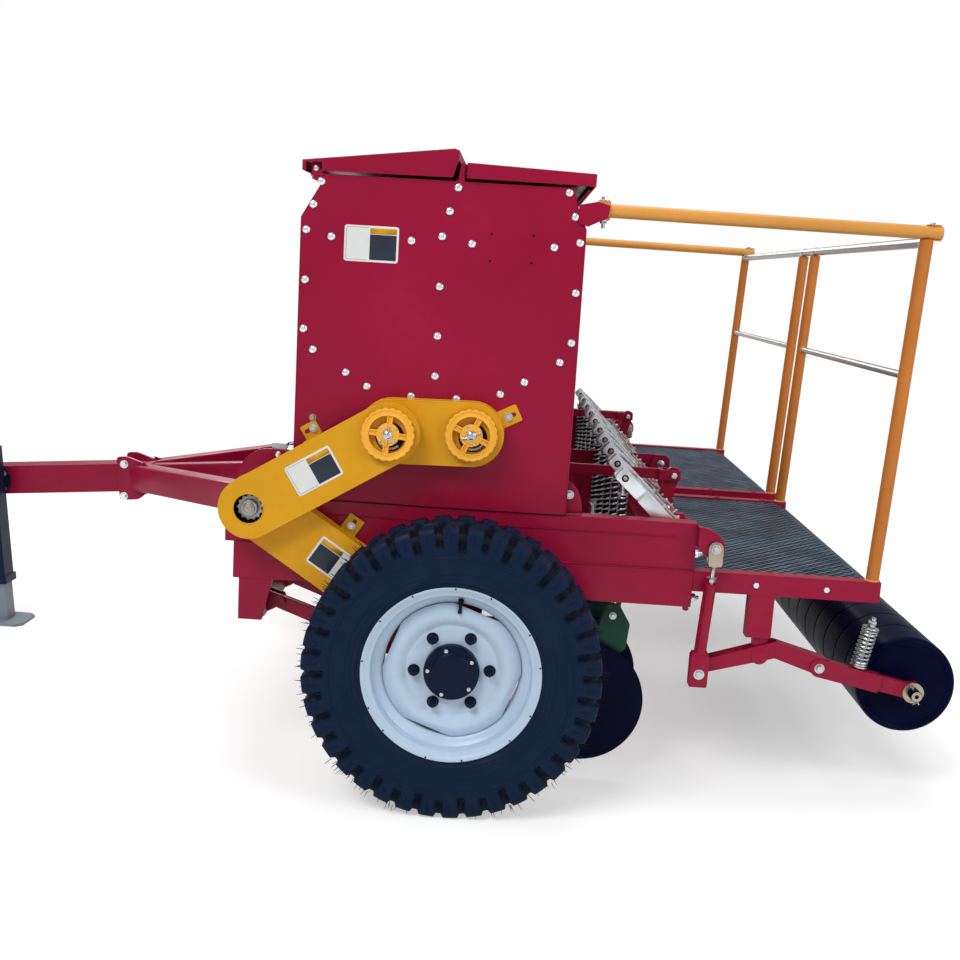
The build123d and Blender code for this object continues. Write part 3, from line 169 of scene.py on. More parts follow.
def paint(
    name, colour, roughness=0.33, dust=0.12, dust_colour=(0.42, 0.37, 0.33), coat=0.06, rounding=0.0016,
    gloss=0.24,
):
    """Sprayed paint on steel: orange peel, slow colour drift, fine dust low down and on top faces."""
    n = Look(name)
    dark = tuple(c * 0.86 for c in colour)
    light = tuple(min(1.0, c * 1.09 + 0.002) for c in colour)
    drift = n.mix(n.ramp(n.noise(2.3, 3.0), 0.3, 0.72), dark, light)
    fine = n.mix(n.ramp(n.noise(38.0, 5.0), 0.35, 0.75, 0.0, 0.35), drift, dark)
    low = n.ramp(n.height(n.coords), 1.0, 0.1)
    top = n.ramp(n.height(n.add("NewGeometry").outputs["Normal"]), 0.55, 1.0)
    film = n.math("ADD", n.math("MULTIPLY", low, 0.5), n.math("MULTIPLY", top, 0.5))
    film = n.math("MULTIPLY", film, n.ramp(n.noise(11.0, 8.0, 0.7), 0.42, 0.75))
    n.put(
        Base_Color=n.mix(n.math("MULTIPLY", film, dust), fine, dust_colour),
        Roughness=n.ramp(n.noise(6.0, 6.0), 0.25, 0.8, roughness - 0.06, roughness + 0.12),
        Coat_Weight=coat,
        Coat_Roughness=0.12,
        Specular_IOR_Level=gloss,
    )
    n.bump(n.noise(420.0, 2.0), 0.00018, 0.5, rounding)
    return n.material


def metal(name, colour, roughness=0.28, tint=(0.55, 0.5, 0.36), brushed=False):
    """Zinc or steel, cloudy, with faint scratches."""
    n = Look(name)
    cloud = n.ramp(n.noise(45.0, 5.0, 0.6), 0.35, 0.7)
    n.put(Base_Color=n.mix(n.math("MULTIPLY", cloud, 0.35), colour, tint), Metallic=1.0)
    grain = n.add("Mapping", n.coords, Scale=(1.0, 1.0, 14.0) if brushed else (3.0, 3.0, 3.0))
    lines = n.noise(160.0, 6.0, 0.7, grain.outputs["Vector"])
    n.put(Roughness=n.ramp(lines, 0.3, 0.75, roughness - 0.08, roughness + 0.16))
    n.bump(lines, 0.0002, 0.5, 0.0008)
    return n.material


def rubber(name, colour, roughness=0.55, grain=260.0, shade_grooves=False):
    """Moulded rubber with a dull bloom and specks of dust, and painted shade where a tread is cut: darker
    there.
    """
    n = Look(name)
    bloom = n.ramp(n.noise(7.0, 8.0, 0.7), 0.38, 0.72)
    pale = tuple(c * 1.35 + 0.002 for c in colour)
    speck = n.ramp(n.noise(120.0, 3.0, 0.6), 0.66, 0.74)
    first = n.mix(n.math("MULTIPLY", bloom, 0.55), colour, pale)
    first = n.mix(n.math("MULTIPLY", speck, 0.1), first, (0.06, 0.09, 0.12))
    # painted shade: where the tread is cut the colour falls to 0.22 of the rubber's own
    if shade_grooves:
        cut = n.add("Attribute", attribute_name="groove").outputs["Fac"]
        first = n.mix(cut, first, tuple(c * 0.22 for c in colour))
    rough = n.ramp(n.noise(22.0, 5.0), 0.3, 0.75, roughness - 0.12, roughness + 0.14)
    n.put(Base_Color=first, Roughness=rough, Specular_IOR_Level=0.12)
    n.bump(n.noise(grain, 4.0), 0.0005, 0.6)
    return n.material


def chequer(name):
    """Painted tread plate: small raised lozenges in alternating directions, worn bright on top; that
    brightness is partly worn paint and partly a painted highlight.
    """
    n = Look(name)
    cells = (30.0, 30.0, 30.0)  # lozenges a metre
    total = None
    for turn, shift in ((0.62, 0.0), (-0.62, 0.5)):
        place = n.add("Mapping", n.coords, Location=(shift, shift, 0.0), Scale=cells)
        cell = n.vector("FRACTION", place.outputs["Vector"])
        centre = n.vector("SUBTRACT", cell, (0.5, 0.5, 0.5))
        spin = n.add("VectorRotate", centre, rotation_type="Z_AXIS", Angle=turn)
        squeeze = n.vector("MULTIPLY", spin.outputs["Vector"], (2.3, 7.0, 0.0))
        size = n.add("VectorMath", squeeze, operation="LENGTH")
        tear = n.ramp(size.outputs["Value"], 1.15, 0.55)
        total = tear if total is None else n.math("MAXIMUM", total, tear)
    # bright lozenge tops: paint worn off, and a painted highlight as well
    wear_and_highlight = n.math("MULTIPLY", total, n.ramp(n.noise(9.0, 6.0), 0.35, 0.7, 0.3, 0.85))
    ground = n.mix(n.ramp(n.noise(14.0, 7.0, 0.7), 0.35, 0.75), rgb(3, 11, 26), rgb(14, 29, 48))
    n.put(
        Base_Color=n.mix(wear_and_highlight, ground, rgb(124, 152, 172)),
        Roughness=n.ramp(n.noise(30.0, 5.0), 0.3, 0.7, 0.34, 0.6),
        Specular_IOR_Level=0.1,
    )
    n.bump(total, 0.0022)
    return n.material


SHADE = (0.03, 0.042, 0.062)  # dust as it shows on dark paint
crimson = paint("crimson paint", rgb(150, 0, 50), 0.36, dust=0.1, dust_colour=(0.4, 0.26, 0.26), gloss=0.2)
yellow = paint("yellow paint", rgb(220, 158, 20), 0.38, dust=0.05, dust_colour=(0.35, 0.25, 0.12), gloss=0.18)
rail = paint("ochre rail paint", rgb(218, 152, 72), 0.36, dust=0.06)
post_paint = paint("ochre post paint", rgb(194, 116, 46), 0.4, dust=0.04)
# the rim's blue-grey tint is painted shade on white enamel
white = paint("rim enamel", rgb(186, 208, 230), 0.3, dust=0.3, dust_colour=(0.3, 0.31, 0.32), gloss=0.4)
navy = paint("navy gloss", rgb(1, 6, 40), 0.34, dust=0.12, dust_colour=SHADE, coat=0.0, gloss=0.03)
disc_navy = paint("disc navy", rgb(1, 6, 38), 0.38, dust=0.12, dust_colour=SHADE, coat=0.0, gloss=0.05)
grey = paint("jack grey", rgb(128, 142, 150), 0.42, dust=0.1)
jack_blue = paint("jack tube navy", rgb(10, 28, 54), 0.34, dust=0.2, dust_colour=SHADE, coat=0.0, gloss=0.1)
green = paint("boot green", rgb(14, 66, 52), 0.4, dust=0.3, dust_colour=SHADE, gloss=0.16)
black = paint("hub black", rgb(2, 20, 46), 0.34, dust=0.25, dust_colour=SHADE, coat=0.0, gloss=0.1)
plate_white = paint("blank plate", rgb(226, 228, 226), 0.42, dust=0.05, rounding=0.0004)
plate_dark = paint("blank plate field", rgb(40, 46, 60), 0.42, dust=0.05, rounding=0.0004)
wheel_orange = paint("handwheel plastic", rgb(246, 178, 60), 0.46, dust=0.05, coat=0.0, rounding=0.001)
zinc = metal("zinc plate", (0.56, 0.59, 0.61), 0.28, (0.28, 0.3, 0.31))
bright_zinc = metal("bright zinc", (0.8, 0.84, 0.88), 0.3, (0.55, 0.6, 0.64))
gold_zinc = metal("yellow zinc", (0.43, 0.37, 0.27), 0.3, (0.31, 0.28, 0.24))
dull_steel = metal("spring steel", (0.36, 0.35, 0.33), 0.34, (0.13, 0.12, 0.11))
tube_zinc = metal("galvanised tube", (0.36, 0.35, 0.34), 0.34, (0.2, 0.19, 0.18), brushed=True)
# the tyre's tread cuts carry painted shade
tyre_rubber = rubber("tyre rubber", rgb(4, 26, 52), 0.55, shade_grooves=True)
hose_rubber = rubber("hose rubber", rgb(10, 14, 24), 0.45, 120.0)
deck = chequer("tread plate paint")
# near-black for real nicks and joints, and for painted shade in holes, slots and recesses
dark_gap_and_shade = rubber("dark joints and painted shade", rgb(10, 12, 18), 0.7)

BY_SLOT = {
    "crimson_paint": crimson,
    "yellow_paint": yellow,
    "rail_paint": rail,
    "wheel_paint": white,
    "tyre_rubber": tyre_rubber,
    "navy_paint": navy,
    "grey_paint": grey,
    "green_paint": green,
    "zinc": zinc,
    "deck_paint": deck,
    "black_paint": black,
    "black_hose": hose_rubber,
    "orange_plastic": wheel_orange,
}
OTHER_LOOKS = {
    "rail_ties": tube_zinc, "rail_posts": post_paint, "lift_barrels": crimson, "jack_tube": jack_blue
}
for part in frame["record"]["subparts"]:
    look = OTHER_LOOKS.get(part["node"], BY_SLOT[part["material_slot"]])
    if part["node"].startswith("opener_disc"):
        look = disc_navy
    for slot in frame["nodes"][part["node"]].material_slots:
        slot.material = look

# ============================= mesh builders =================================
SLOT_OF = {id(look): name for name, look in BY_SLOT.items()}
SLOT_OF.update({id(m): "zinc" for m in (gold_zinc, dull_steel, tube_zinc, bright_zinc)})
SLOT_OF[id(post_paint)] = "rail_paint"
SLOT_OF.update({id(m): "navy_paint" for m in (disc_navy, jack_blue, dark_gap_and_shade)})
SLOT_OF.update({id(m): "grey_paint" for m in (plate_white, plate_dark)})


def circle(centre, side, other, radius, count, turn=0.0):
    """Points round a centre, in the plane of two unit vectors."""
    angles = [turn + TAU * k / count for k in range(count)]
    return [centre + (side * math.cos(a) + other * math.sin(a)) * radius for a in angles]


class Piece:
    """One visible piece under construction: a mesh in the row frame, one look, one body."""

    def __init__(self, name, look, sharp=32.0, body="chassis"):
        self.name, self.look, self.body, self.sharp = name, look, body, sharp
        self.bm = bmesh.new()

    def grid(self, rows, closed_rows=False, closed_cols=False):
        """Faces over a grid of points: rows of equal length."""
        made = [[self.bm.verts.new(p) for p in row] for row in rows]
        count, width = len(made), len(made[0])
        for i in range(count if closed_rows else count - 1):
            for j in range(width if closed_cols else width - 1):
                a, b = made[i], made[(i + 1) % count]
                k = (j + 1) % width
                self.bm.faces.new((a[j], a[k], b[k], b[j]))
        return made

    def solid(self, first, second):
        """A solid between two outlines of as many points: its long edges and its end edges."""
        a = [self.bm.verts.new(p) for p in first]
        b = [self.bm.verts.new(p) for p in second]
        ends = [self.bm.faces.new(a), self.bm.faces.new(list(reversed(b)))]
        for i in range(len(a)):
            k = (i + 1) % len(a)
            self.bm.faces.new((a[k], a[i], b[i], b[k]))
        return [self.bm.edges.get((p, q)) for p, q in zip(a, b)], [e for end in ends for e in end.edges]

    def bevel(self, edges, offset, segments, profile):
        if offset:
            bmesh.ops.bevel(
                self.bm, geom=edges, offset=offset, segments=segments, affect="EDGES", profile=profile
            )

    def prism(self, points, direction, bevel=0.0):
        """A closed outline of points pushed along a vector, its end edges bevelled."""
        _, ends = self.solid(points, [Vector(p) + direction for p in points])
        self.bevel(ends, bevel, 2, 0.6)

    def loft(self, first, second, bevel):
        """A solid between two outlines, its long edges rounded."""
        long_edges, _ = self.solid(first, second)
        self.bevel(long_edges, bevel, 3, 0.5)

    def round(self, centre, axis, profile, segments=24, turn=0.0):
        """A turned shape: profile is (radius, distance along axis) pairs."""
        axis = Vector(axis).normalized()
        side = axis.orthogonal().normalized()
        other = axis.cross(side)
        rows = [circle(Vector(centre) + axis * run, side, other, r, segments, turn) for r, run in profile]
        made = self.grid(rows, closed_cols=True)
        if profile[0][0] > 1e-6:
            self.bm.faces.new(list(reversed(made[0])))
        if profile[-1][0] > 1e-6:
            self.bm.faces.new(made[-1])

    def rod(self, start, end, radius, segments=20):
        """A round bar with its ends' edges eased."""
        start, run = Vector(start), Vector(end) - Vector(start)
        e = min(0.0008, radius * 0.4)
        profile = [(radius - e, 0), (radius, e), (radius, run.length - e), (radius - e, run.length)]
        self.round(start, run, profile, segments)

    def hex_bolt(self, centre, axis, size=0.017, thick=0.009, washer=True, thread=0.0):
        """A hex head on its washer, with a domed top, and a thread's end if it has a nut."""
        lift = 0.0
        if washer:
            self.round(centre, axis, [(size * 0.78, 0), (size * 0.8, 0.0008), (size * 0.78, 0.0022)], 20)
            lift = 0.0022
        turn = random.random()
        r = size / 2 / math.cos(math.pi / 6)
        top = lift + thick
        profile = [(r, lift), (r, lift + thick * 0.82), (r * 0.86, top), (r * 0.25, top)]
        self.round(centre, axis, profile, 6, turn)
        if thread:
            end = [(size * 0.28, top), (size * 0.28, top + thread - 0.001), (size * 0.2, top + thread)]
            self.round(centre, axis, end, 12)

    def dome_bolt(self, centre, axis, radius=0.0105, high=0.0055):
        """A mushroom-headed bolt with a flat on its crown."""
        dome = ((1, 0), (0.98, 0.25), (0.86, 0.62), (0.62, 0.92), (0.4, 1), (0.34, 0.92), (0.05, 0.92))
        self.round(centre, axis, [(radius * out, high * up) for out, up in dome], 16)

    def sweep(self, points, radius, segments=10):
        """A tube of one radius, or one per point, along points."""
        rings = []
        up = None
        for i, p in enumerate(points):
            before, after = points[max(0, i - 1)], points[min(i + 1, len(points) - 1)]
            run = (Vector(after) - Vector(before)).normalized()
            side = run.orthogonal() if up is None else up - run * up.dot(run)
            up = side.normalized()
            r = radius[i] if isinstance(radius, (list, tuple)) else radius
            rings.append(circle(Vector(p), up, run.cross(up), r, segments))
        made = self.grid(rings, closed_cols=True)
        self.bm.faces.new(list(reversed(made[0])))
        self.bm.faces.new(made[-1])

    def coil(self, start, end, radius, wire, turns, per_turn=14, around=6, flat=1.2):
        """A compression spring with its end turns closed up."""
        run = end - start
        axis = run.normalized()
        side = axis.orthogonal().normalized()
        other = axis.cross(side)
        length = run.length - 2 * wire
        shut = wire * 2.02  # rise of a closed turn
        centres = []
        for i in range(int(turns * per_turn) + 1):
            t = i / per_turn
            if t < flat:
                h = t * shut
            elif t > turns - flat:
                h = length - (turns - t) * shut
            else:
                low, high = flat * shut, length - flat * shut
                h = low + (t - flat) / (turns - 2 * flat) * (high - low)
            a = TAU * t
            spot = (side * math.cos(a) + other * math.sin(a)) * (radius - wire)
            centres.append(start + axis * (wire + h) + spot)
        self.sweep(centres, wire, around)

    def done(self, replaces=()):
        """The finished object, with its look, its body and the CAD nodes it replaces; its look must have a
        slot.
        """
        mesh = bpy.data.meshes.new(self.name)
        bmesh.ops.recalc_face_normals(self.bm, faces=self.bm.faces)
        self.bm.to_mesh(mesh)
        self.bm.free()
        obj = bpy.data.objects.new(self.name, mesh)
        bpy.context.scene.collection.objects.link(obj)
        mesh.materials.append(self.look)
        mesh.shade_smooth()
        mesh.set_sharp_from_angle(angle=math.radians(self.sharp))
        if replaces:
            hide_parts(*replaces)
        SLOT_OF[id(self.look)]
        if self.body:
            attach(obj, self.body)
        return obj


def smoothstep(low, high, value):
    t = min(1.0, max(0.0, (value - low) / (high - low)))
    return t * t * (3 - 2 * t)


# ================================= wheels ====================================
TYRE_R = 0.375
WHEEL_Y = 1.382
LUGS = 38
LUG_STEPS = 10  # rows of points to a lug
RIM_STEPS = 128
RING_LINES = (0.2475, 0.262, 0.302, 0.307)  # raised lines round the sidewall


def tyre_section():
    """(radius, width) pairs from one bead to the other, with both edges of each raised line."""
    outline = [
        (0.2045, 0.07), (0.215, 0.0765), (0.225, 0.079), (0.233, 0.08), (0.238, 0.0845), (0.244, 0.086),
        (0.252, 0.0868), (0.27, 0.09), (0.285, 0.0915), (0.3, 0.092), (0.305, 0.0928), (0.309, 0.0918),
        (0.315, 0.0915), (0.322, 0.0915), (0.3235, 0.0916), (0.33, 0.092), (0.338, 0.0925), (0.345, 0.0925),
        (0.352, 0.0918), (0.36, 0.0905), (0.367, 0.088), (0.3715, 0.0845), (0.3735, 0.079), (0.374, 0.07),
        (0.3742, 0.056), (0.3744, 0.042), (0.3746, 0.032), (0.3748, 0.024), (0.3749, 0.012), (0.375, 0.0),
    ]
    for ring in RING_LINES:
        low = max(k for k in range(len(outline)) if outline[k][0] <= ring)
        (r0, w0), (r1, w1) = outline[low], outline[low + 1]
        extra = [(r, w0 + (w1 - w0) * (r - r0) / (r1 - r0)) for r in (ring - 0.0013, ring, ring + 0.0013)]
        outline = sorted(outline + extra)
    outline = sorted(outline + [(r, 0.0918) for r in (0.2912, 0.2918, 0.2992, 0.2998)])
    return outline + [(r, -w) for r, w in reversed(outline[:-1])]


def tread(step, r, w):
    """How deep the tread is cut at a point of the section, and how high a moulded line stands there."""
    turn = step / LUG_STEPS + (0.0 if w >= 0 else 0.5)  # in lugs: one shoulder is half a lug ahead
    phase = (turn + 5.2 * max(0.0, 0.05 - abs(w))) % 1.0
    reach = 0.3165 if int(turn) % 2 else 0.327
    cut = smoothstep(0.6, 0.7, phase) * (1 - smoothstep(0.9, 1.0, phase))
    depth = 0.011 * cut * smoothstep(reach, reach + 0.004, r)
    if abs(abs(w) - 0.03) < 0.0055 and r > 0.37:
        depth = max(depth, 0.01)
    if 0.336 < r < 0.366:
        notch = smoothstep(0.26, 0.3, phase) * (1 - smoothstep(0.36, 0.4, phase))
        depth = max(depth, 0.0035 * notch)
    line = max(0.0011 * (1 - abs(r - ring) / 0.0013) for ring in RING_LINES)
    tick = 0.0009 * (step % 2) if 0.2915 < r < 0.2995 else 0.0
    return depth, max(0.0, line, tick)


def moulding_hairs(piece, hub):
    """The rubber hairs that a new tyre has."""
    for _ in range(340):
        angle = random.uniform(-1.0, 1.0) * math.pi
        w = random.choice((-1, 1)) * random.choice((0.045, 0.062, 0.078, 0.088))
        w += random.uniform(-0.003, 0.003)
        r = 0.372 if abs(w) < 0.084 else 0.363
        out = Vector((math.sin(angle), 0, math.cos(angle)))
        sideways = math.copysign(0.5 if abs(w) > 0.07 else 0.15, w)
        lean = Vector((random.uniform(-0.4, 0.4), sideways, random.uniform(-0.4, 0.4)))
        start = hub + out * r + Vector((0, w, 0))
        tip = start + (out + lean * 0.6).normalized() * random.uniform(0.01, 0.022)
        if tip.z >= 0.003:
            mid = (start + tip) / 2 + lean * 0.0015
            piece.sweep([start, mid, tip], [0.0011, 0.0009, 0.0006], 4)


def groove_bows(piece, hub):
    """A thin raised bow round the foot of each shoulder groove."""
    for flank in (-1, 1):
        for k in range(LUGS):
            middle = TAU * (k + 0.8 - (0.5 if flank < 0 else 0.0)) / LUGS
            foot = 0.3125 if k % 2 else 0.3225
            bow = []
            for step in range(9):
                share = -1 + step / 4
                r = foot + 0.026 * abs(share) ** 2.4
                a = middle + 0.034 * share
                w = flank * (0.0922 if r < 0.338 else 0.0926)
                bow.append(turned(hub, a, r, w))
            piece.sweep(bow, 0.0009, 4)


def tyre(side, name):
    """Carcass and lugs in one skin; the tread's cuts are marked for the rubber's look, which paints shade
    into them.
    """
    piece = Piece("tyre_skin_" + name, tyre_rubber, 24, "wheel_" + name)
    hub = at(0, side * WHEEL_Y, TYRE_R)
    section = tyre_section()
    rows, groove_shade = [], []
    for step in range(LUGS * LUG_STEPS):
        row = []
        for r, w in section:
            depth, lift = tread(step, r, w)
            tilt = smoothstep(0.335, 0.365, r)
            width = w - (1 if w >= 0 else -1) * (depth * (1 - tilt) * 0.8 - lift)
            row.append(turned(hub, TAU * step / (LUGS * LUG_STEPS), r - depth * tilt, width))
            # how deep the tread is cut here, kept for the painted shade in the cuts
            groove_shade.append(min(1.0, depth / 0.008))
        rows.append(row)
    piece.grid(rows, closed_rows=True)
    moulding_hairs(piece, hub)
    groove_bows(piece, hub)
    skin = piece.done(["tyre_" + name]).data
    # the cut depths go on the skin as a point attribute, for the rubber's painted shade
    skin.attributes.new("groove", "FLOAT", "POINT")
    for vertex, value in zip(skin.attributes["groove"].data, groove_shade):
        vertex.value = value


def rim(side, name):
    """Rim barrel, dished centre, nuts, hub cap, valve and the flange's nicks."""
    body = "wheel_" + name
    hub = at(0, side * WHEEL_Y, TYRE_R)
    out = Vector((0, side, 0))
    barrel = Piece("rim_barrel_" + name, white, 40, body)
    section = [
        (0.2245, 0.08), (0.225, 0.0815), (0.2238, 0.0825), (0.2205, 0.0822), (0.215, 0.078), (0.2085, 0.074),
        (0.202, 0.072), (0.2005, 0.069), (0.199, 0.05), (0.1985, 0.044), (0.195, 0.0405), (0.185, 0.036),
        (0.174, 0.03), (0.1725, 0.027), (0.1725, -0.013), (0.196, -0.036), (0.197, -0.07), (0.2205, -0.082),
        (0.2245, -0.08), (0.203, -0.069), (0.2025, -0.034), (0.176, -0.014), (0.176, 0.03), (0.2025, 0.044),
        (0.203, 0.07), (0.2245, 0.08),
    ]
    angles = [TAU * i / RIM_STEPS for i in range(RIM_STEPS)]
    barrel.grid([[turned(hub, a, r, side * w) for r, w in section] for a in angles], closed_rows=True)
    barrel.done(["rim_" + name])
    # dished centre: a rounded hexagon whose flats stand off the barrel
    disc = Piece("rim_disc_" + name, white, 35, body)
    dish = [
        (1.0, 0.033), (1.0, 0.035), (0.985, 0.0372), (0.95, 0.0405), (0.91, 0.0438), (0.87, 0.0462),
        (0.84, 0.047), (0.81, 0.0468), (0.775, 0.0455), (0.74, 0.043), (0.71, 0.04), (0.685, 0.0376),
        (0.665, 0.0366), (0.655, 0.0372), (0.6, 0.0374), (0.4, 0.0376), (0.4, 0.034), (0.66, 0.033),
        (0.74, 0.038), (0.84, 0.043), (0.98, 0.032),
    ]
    rows = []
    for a in angles:
        part = (a + math.radians(20)) % (TAU / 4)
        part = min(part, TAU / 4 - part)
        edge = min(0.1738, 0.1628 / math.cos(part))
        row = []
        for share, w in dish:
            r = 0.173 * share
            if share > 0.8:
                r = edge * share + (1 - share) / 0.2 * (0.173 - edge) * share
            row.append(turned(hub, a, r, side * w))
        rows.append(row)
    disc.grid(rows, closed_rows=True, closed_cols=True)
    disc.done()
    nuts = Piece("wheel_nuts_" + name, black, 35, body)
    for k in range(6):
        a = TAU * (k + 0.5) / 6 + math.radians(3)
        spot = turned(hub, a, 0.095, side * 0.0374)
        nuts.round(spot, out, [(0.0155, 0), (0.015, 0.003), (0.0135, 0.0045)], 24)
        nuts.round(spot, out, [(0.012, 0.0045), (0.012, 0.017), (0.01, 0.0195), (0.003, 0.0195)], 6, 0.4)
        nuts.round(spot, out, [(0.0062, 0.019), (0.0062, 0.0265), (0.0048, 0.028)], 14)
    nuts.done()
    cap = Piece("hub_cap_" + name, black, 40, body)
    profile = [(0.0695, 0.038), (0.07, 0.05), (0.0695, 0.06), (0.067, 0.064), (0.06, 0.0655), (0.053, 0.066)]
    profile += [(0.0505, 0.068), (0.0485, 0.07), (0.03, 0.0704), (0.0, 0.0705)]
    cap.round(hub, out, profile, 64)
    tail = [
        (0.05, -0.07), (0.054, -0.069), (0.056, -0.02), (0.11, 0.026), (0.112, 0.03), (0.112, 0.0355),
        (0.06, 0.036)
    ]
    cap.round(hub, out, tail, 64)
    cap.done(["hub_" + name])
    screws = Piece("hub_screws_" + name, zinc, body=body)
    for k in range(5):
        screws.dome_bolt(turned(hub, TAU * k / 5 + side * 0.26, 0.059, side * 0.0654), out, 0.0056, 0.0032)
    screws.done()
    valve = Piece("valve_" + name, hose_rubber, body=body)
    foot = hub + Vector((-0.014, side * 0.036, 0.184))
    tip = hub + Vector((-0.012, side * 0.052, 0.152))
    stations = [foot + (tip - foot) * share for share in (0.3, 0.34, 0.75, 0.78)]
    valve.sweep([foot, *stations, tip], [0.0075, 0.0065, 0.0045, 0.0042, 0.0052, 0.005], 14)
    valve.done()
    nicks = Piece("rim_nicks_" + name, dark_gap_and_shade, body=body)
    for k in range(13):
        a = TAU * (k + random.uniform(-0.2, 0.2)) / 13
        nicks.round(
            turned(hub, a, 0.2215, side * 0.0822), out, [(0.0026, 0), (0.0022, 0.0008), (0.0, 0.0009)], 8
        )
    nicks.done()


for side, name in ((1, "left"), (-1, "right")):
    tyre(side, name)
    rim(side, name)


# ================================= roller ====================================
ROLLER = Vector((-1.597, 0, 0.325))
RINGS = 20
DRUM_HALF = 1.138


def roller():
    """Ringed drum with its rounded shoulders, inset ends and stub axles."""
    pitch = 2 * DRUM_HALF / RINGS
    groove = [(0.1312, 0.0012), (0.1324, 0.0028), (0.1329, 0.0048)]
    piece = Piece("roller_drum", navy, 36, "roller")
    end = [
        (0.0143, 1.239), (0.015, 1.238), (0.015, 1.148), (0.033, 1.148), (0.0345, 1.1465), (0.1075, 1.1465),
        (0.1085, 1.148), (0.11, 1.1486), (0.1115, 1.148), (0.1125, 1.1468), (0.115, 1.1475), (0.121, 1.1512),
        (0.1262, 1.15), (0.1303, 1.146), (0.1325, 1.14), (0.133, 1.134),
    ]
    profile = [(r, -y) for r, y in end]
    for k in range(RINGS):
        low = -DRUM_HALF + k * pitch
        if k:
            profile += [(0.1308, low)] + [(r, low + run) for r, run in groove]
        profile += [(0.133, low + 0.01), (0.133, low + pitch - 0.01)]
        if k < RINGS - 1:
            profile += [(r, low + pitch - run) for r, run in reversed(groove)]
    profile += [(r, y) for r, y in reversed(end)]
    piece.round(ROLLER, LEFT, profile, 96)
    piece.done(["roller"])


roller()

for side, tag, out in sides():
    tip = Vector((ROLLER.x, side * 1.2075, ROLLER.z))
    washer = Piece("axle_washer_" + tag, gold_zinc, body="roller")
    washer.round(
        tip, out, [(0.0155, 0.0), (0.0278, 0.0), (0.0282, 0.0008), (0.0278, 0.0032), (0.0155, 0.0034)], 40
    )
    washer.round(
        tip + out * 0.0034, out,
        [(0.0125, 0), (0.015, 0.0262), (0.0135, 0.0282), (0.006, 0.0284), (0.0045, 0.027)], 28
    )
    washer.done()
    pin = Piece("cotter_pin_" + tag, dull_steel, body="roller")
    mid = tip + out * 0.018
    lean = Vector((-0.42, 0, -0.91))
    pin.sweep(
        [mid - lean * 0.024, mid - lean * 0.019, mid + lean * 0.018, mid + lean * 0.027 + out * 0.004],
        0.0019, 8
    )
    pin.sweep(
        [
            mid + lean * 0.018, mid + lean * 0.022 - out * 0.002,
            mid + lean * 0.02 + Vector((0.013, 0, -0.008))
        ],
        0.0015, 8
    )
    pin.sweep([turned(mid - lean * 0.027, TAU * (0.25 - k / 14), 0.0045) for k in range(15)], 0.0015, 8)
    pin.done()

# ======================= roller levers, links and springs ====================
LEVER_PIN, LEVER_FRONT, LEVER_BOLT, LEVER_Y = (-0.805, 0.401), (-0.643, 0.353), (-0.965, 0.379), 1.195
LINK_TOP, LINK_Y = (-0.658, 0.691), 1.24


def side_prism(piece, outline, outer, thick, side, bevel=0.001):
    """An outline of (station, height) points, from its outboard face inwards by thick."""
    points = placed(outline, side * outer)
    piece.prism(points, Vector((0, -side * thick, 0)), bevel)


def arc(centre, radius, start, stop, steps=10):
    """(station, height) points round a centre, between two angles in degrees."""
    turns = [math.radians(start + (stop - start) * k / steps) for k in range(steps + 1)]
    return [(centre[0] + radius * math.cos(a), centre[1] + radius * math.sin(a)) for a in turns]


def direction(start, end):
    """The angle, in degrees, from one (station, height) point to another."""
    return math.degrees(math.atan2(end[1] - start[1], end[0] - start[0]))


def along(start, end, run, offset):
    """(station, height) of a point on a line from start to end, shifted to its left by offset."""
    d = Vector((end[0] - start[0], end[1] - start[1])).normalized()
    return (start[0] + d.x * run - d.y * offset, start[1] + d.y * run + d.x * offset)


def weld(piece, start, end, radius=0.0024, pitch=0.006):
    """A hand-laid weld bead along a line."""
    start, end = Vector(start), Vector(end)
    count = max(3, int((end - start).length / pitch))
    points, radii = [], []
    for k in range(count * 2 + 1):
        t = k / (count * 2)
        jog = Vector((random.uniform(-1, 1), random.uniform(-1, 1), random.uniform(-1, 1))) * radius * 0.18
        points.append(start.lerp(end, t) + jog)
        radii.append(radius * (1.12 if k % 2 else 0.84) * random.uniform(0.92, 1.08))
    piece.sweep(points, radii, 6)


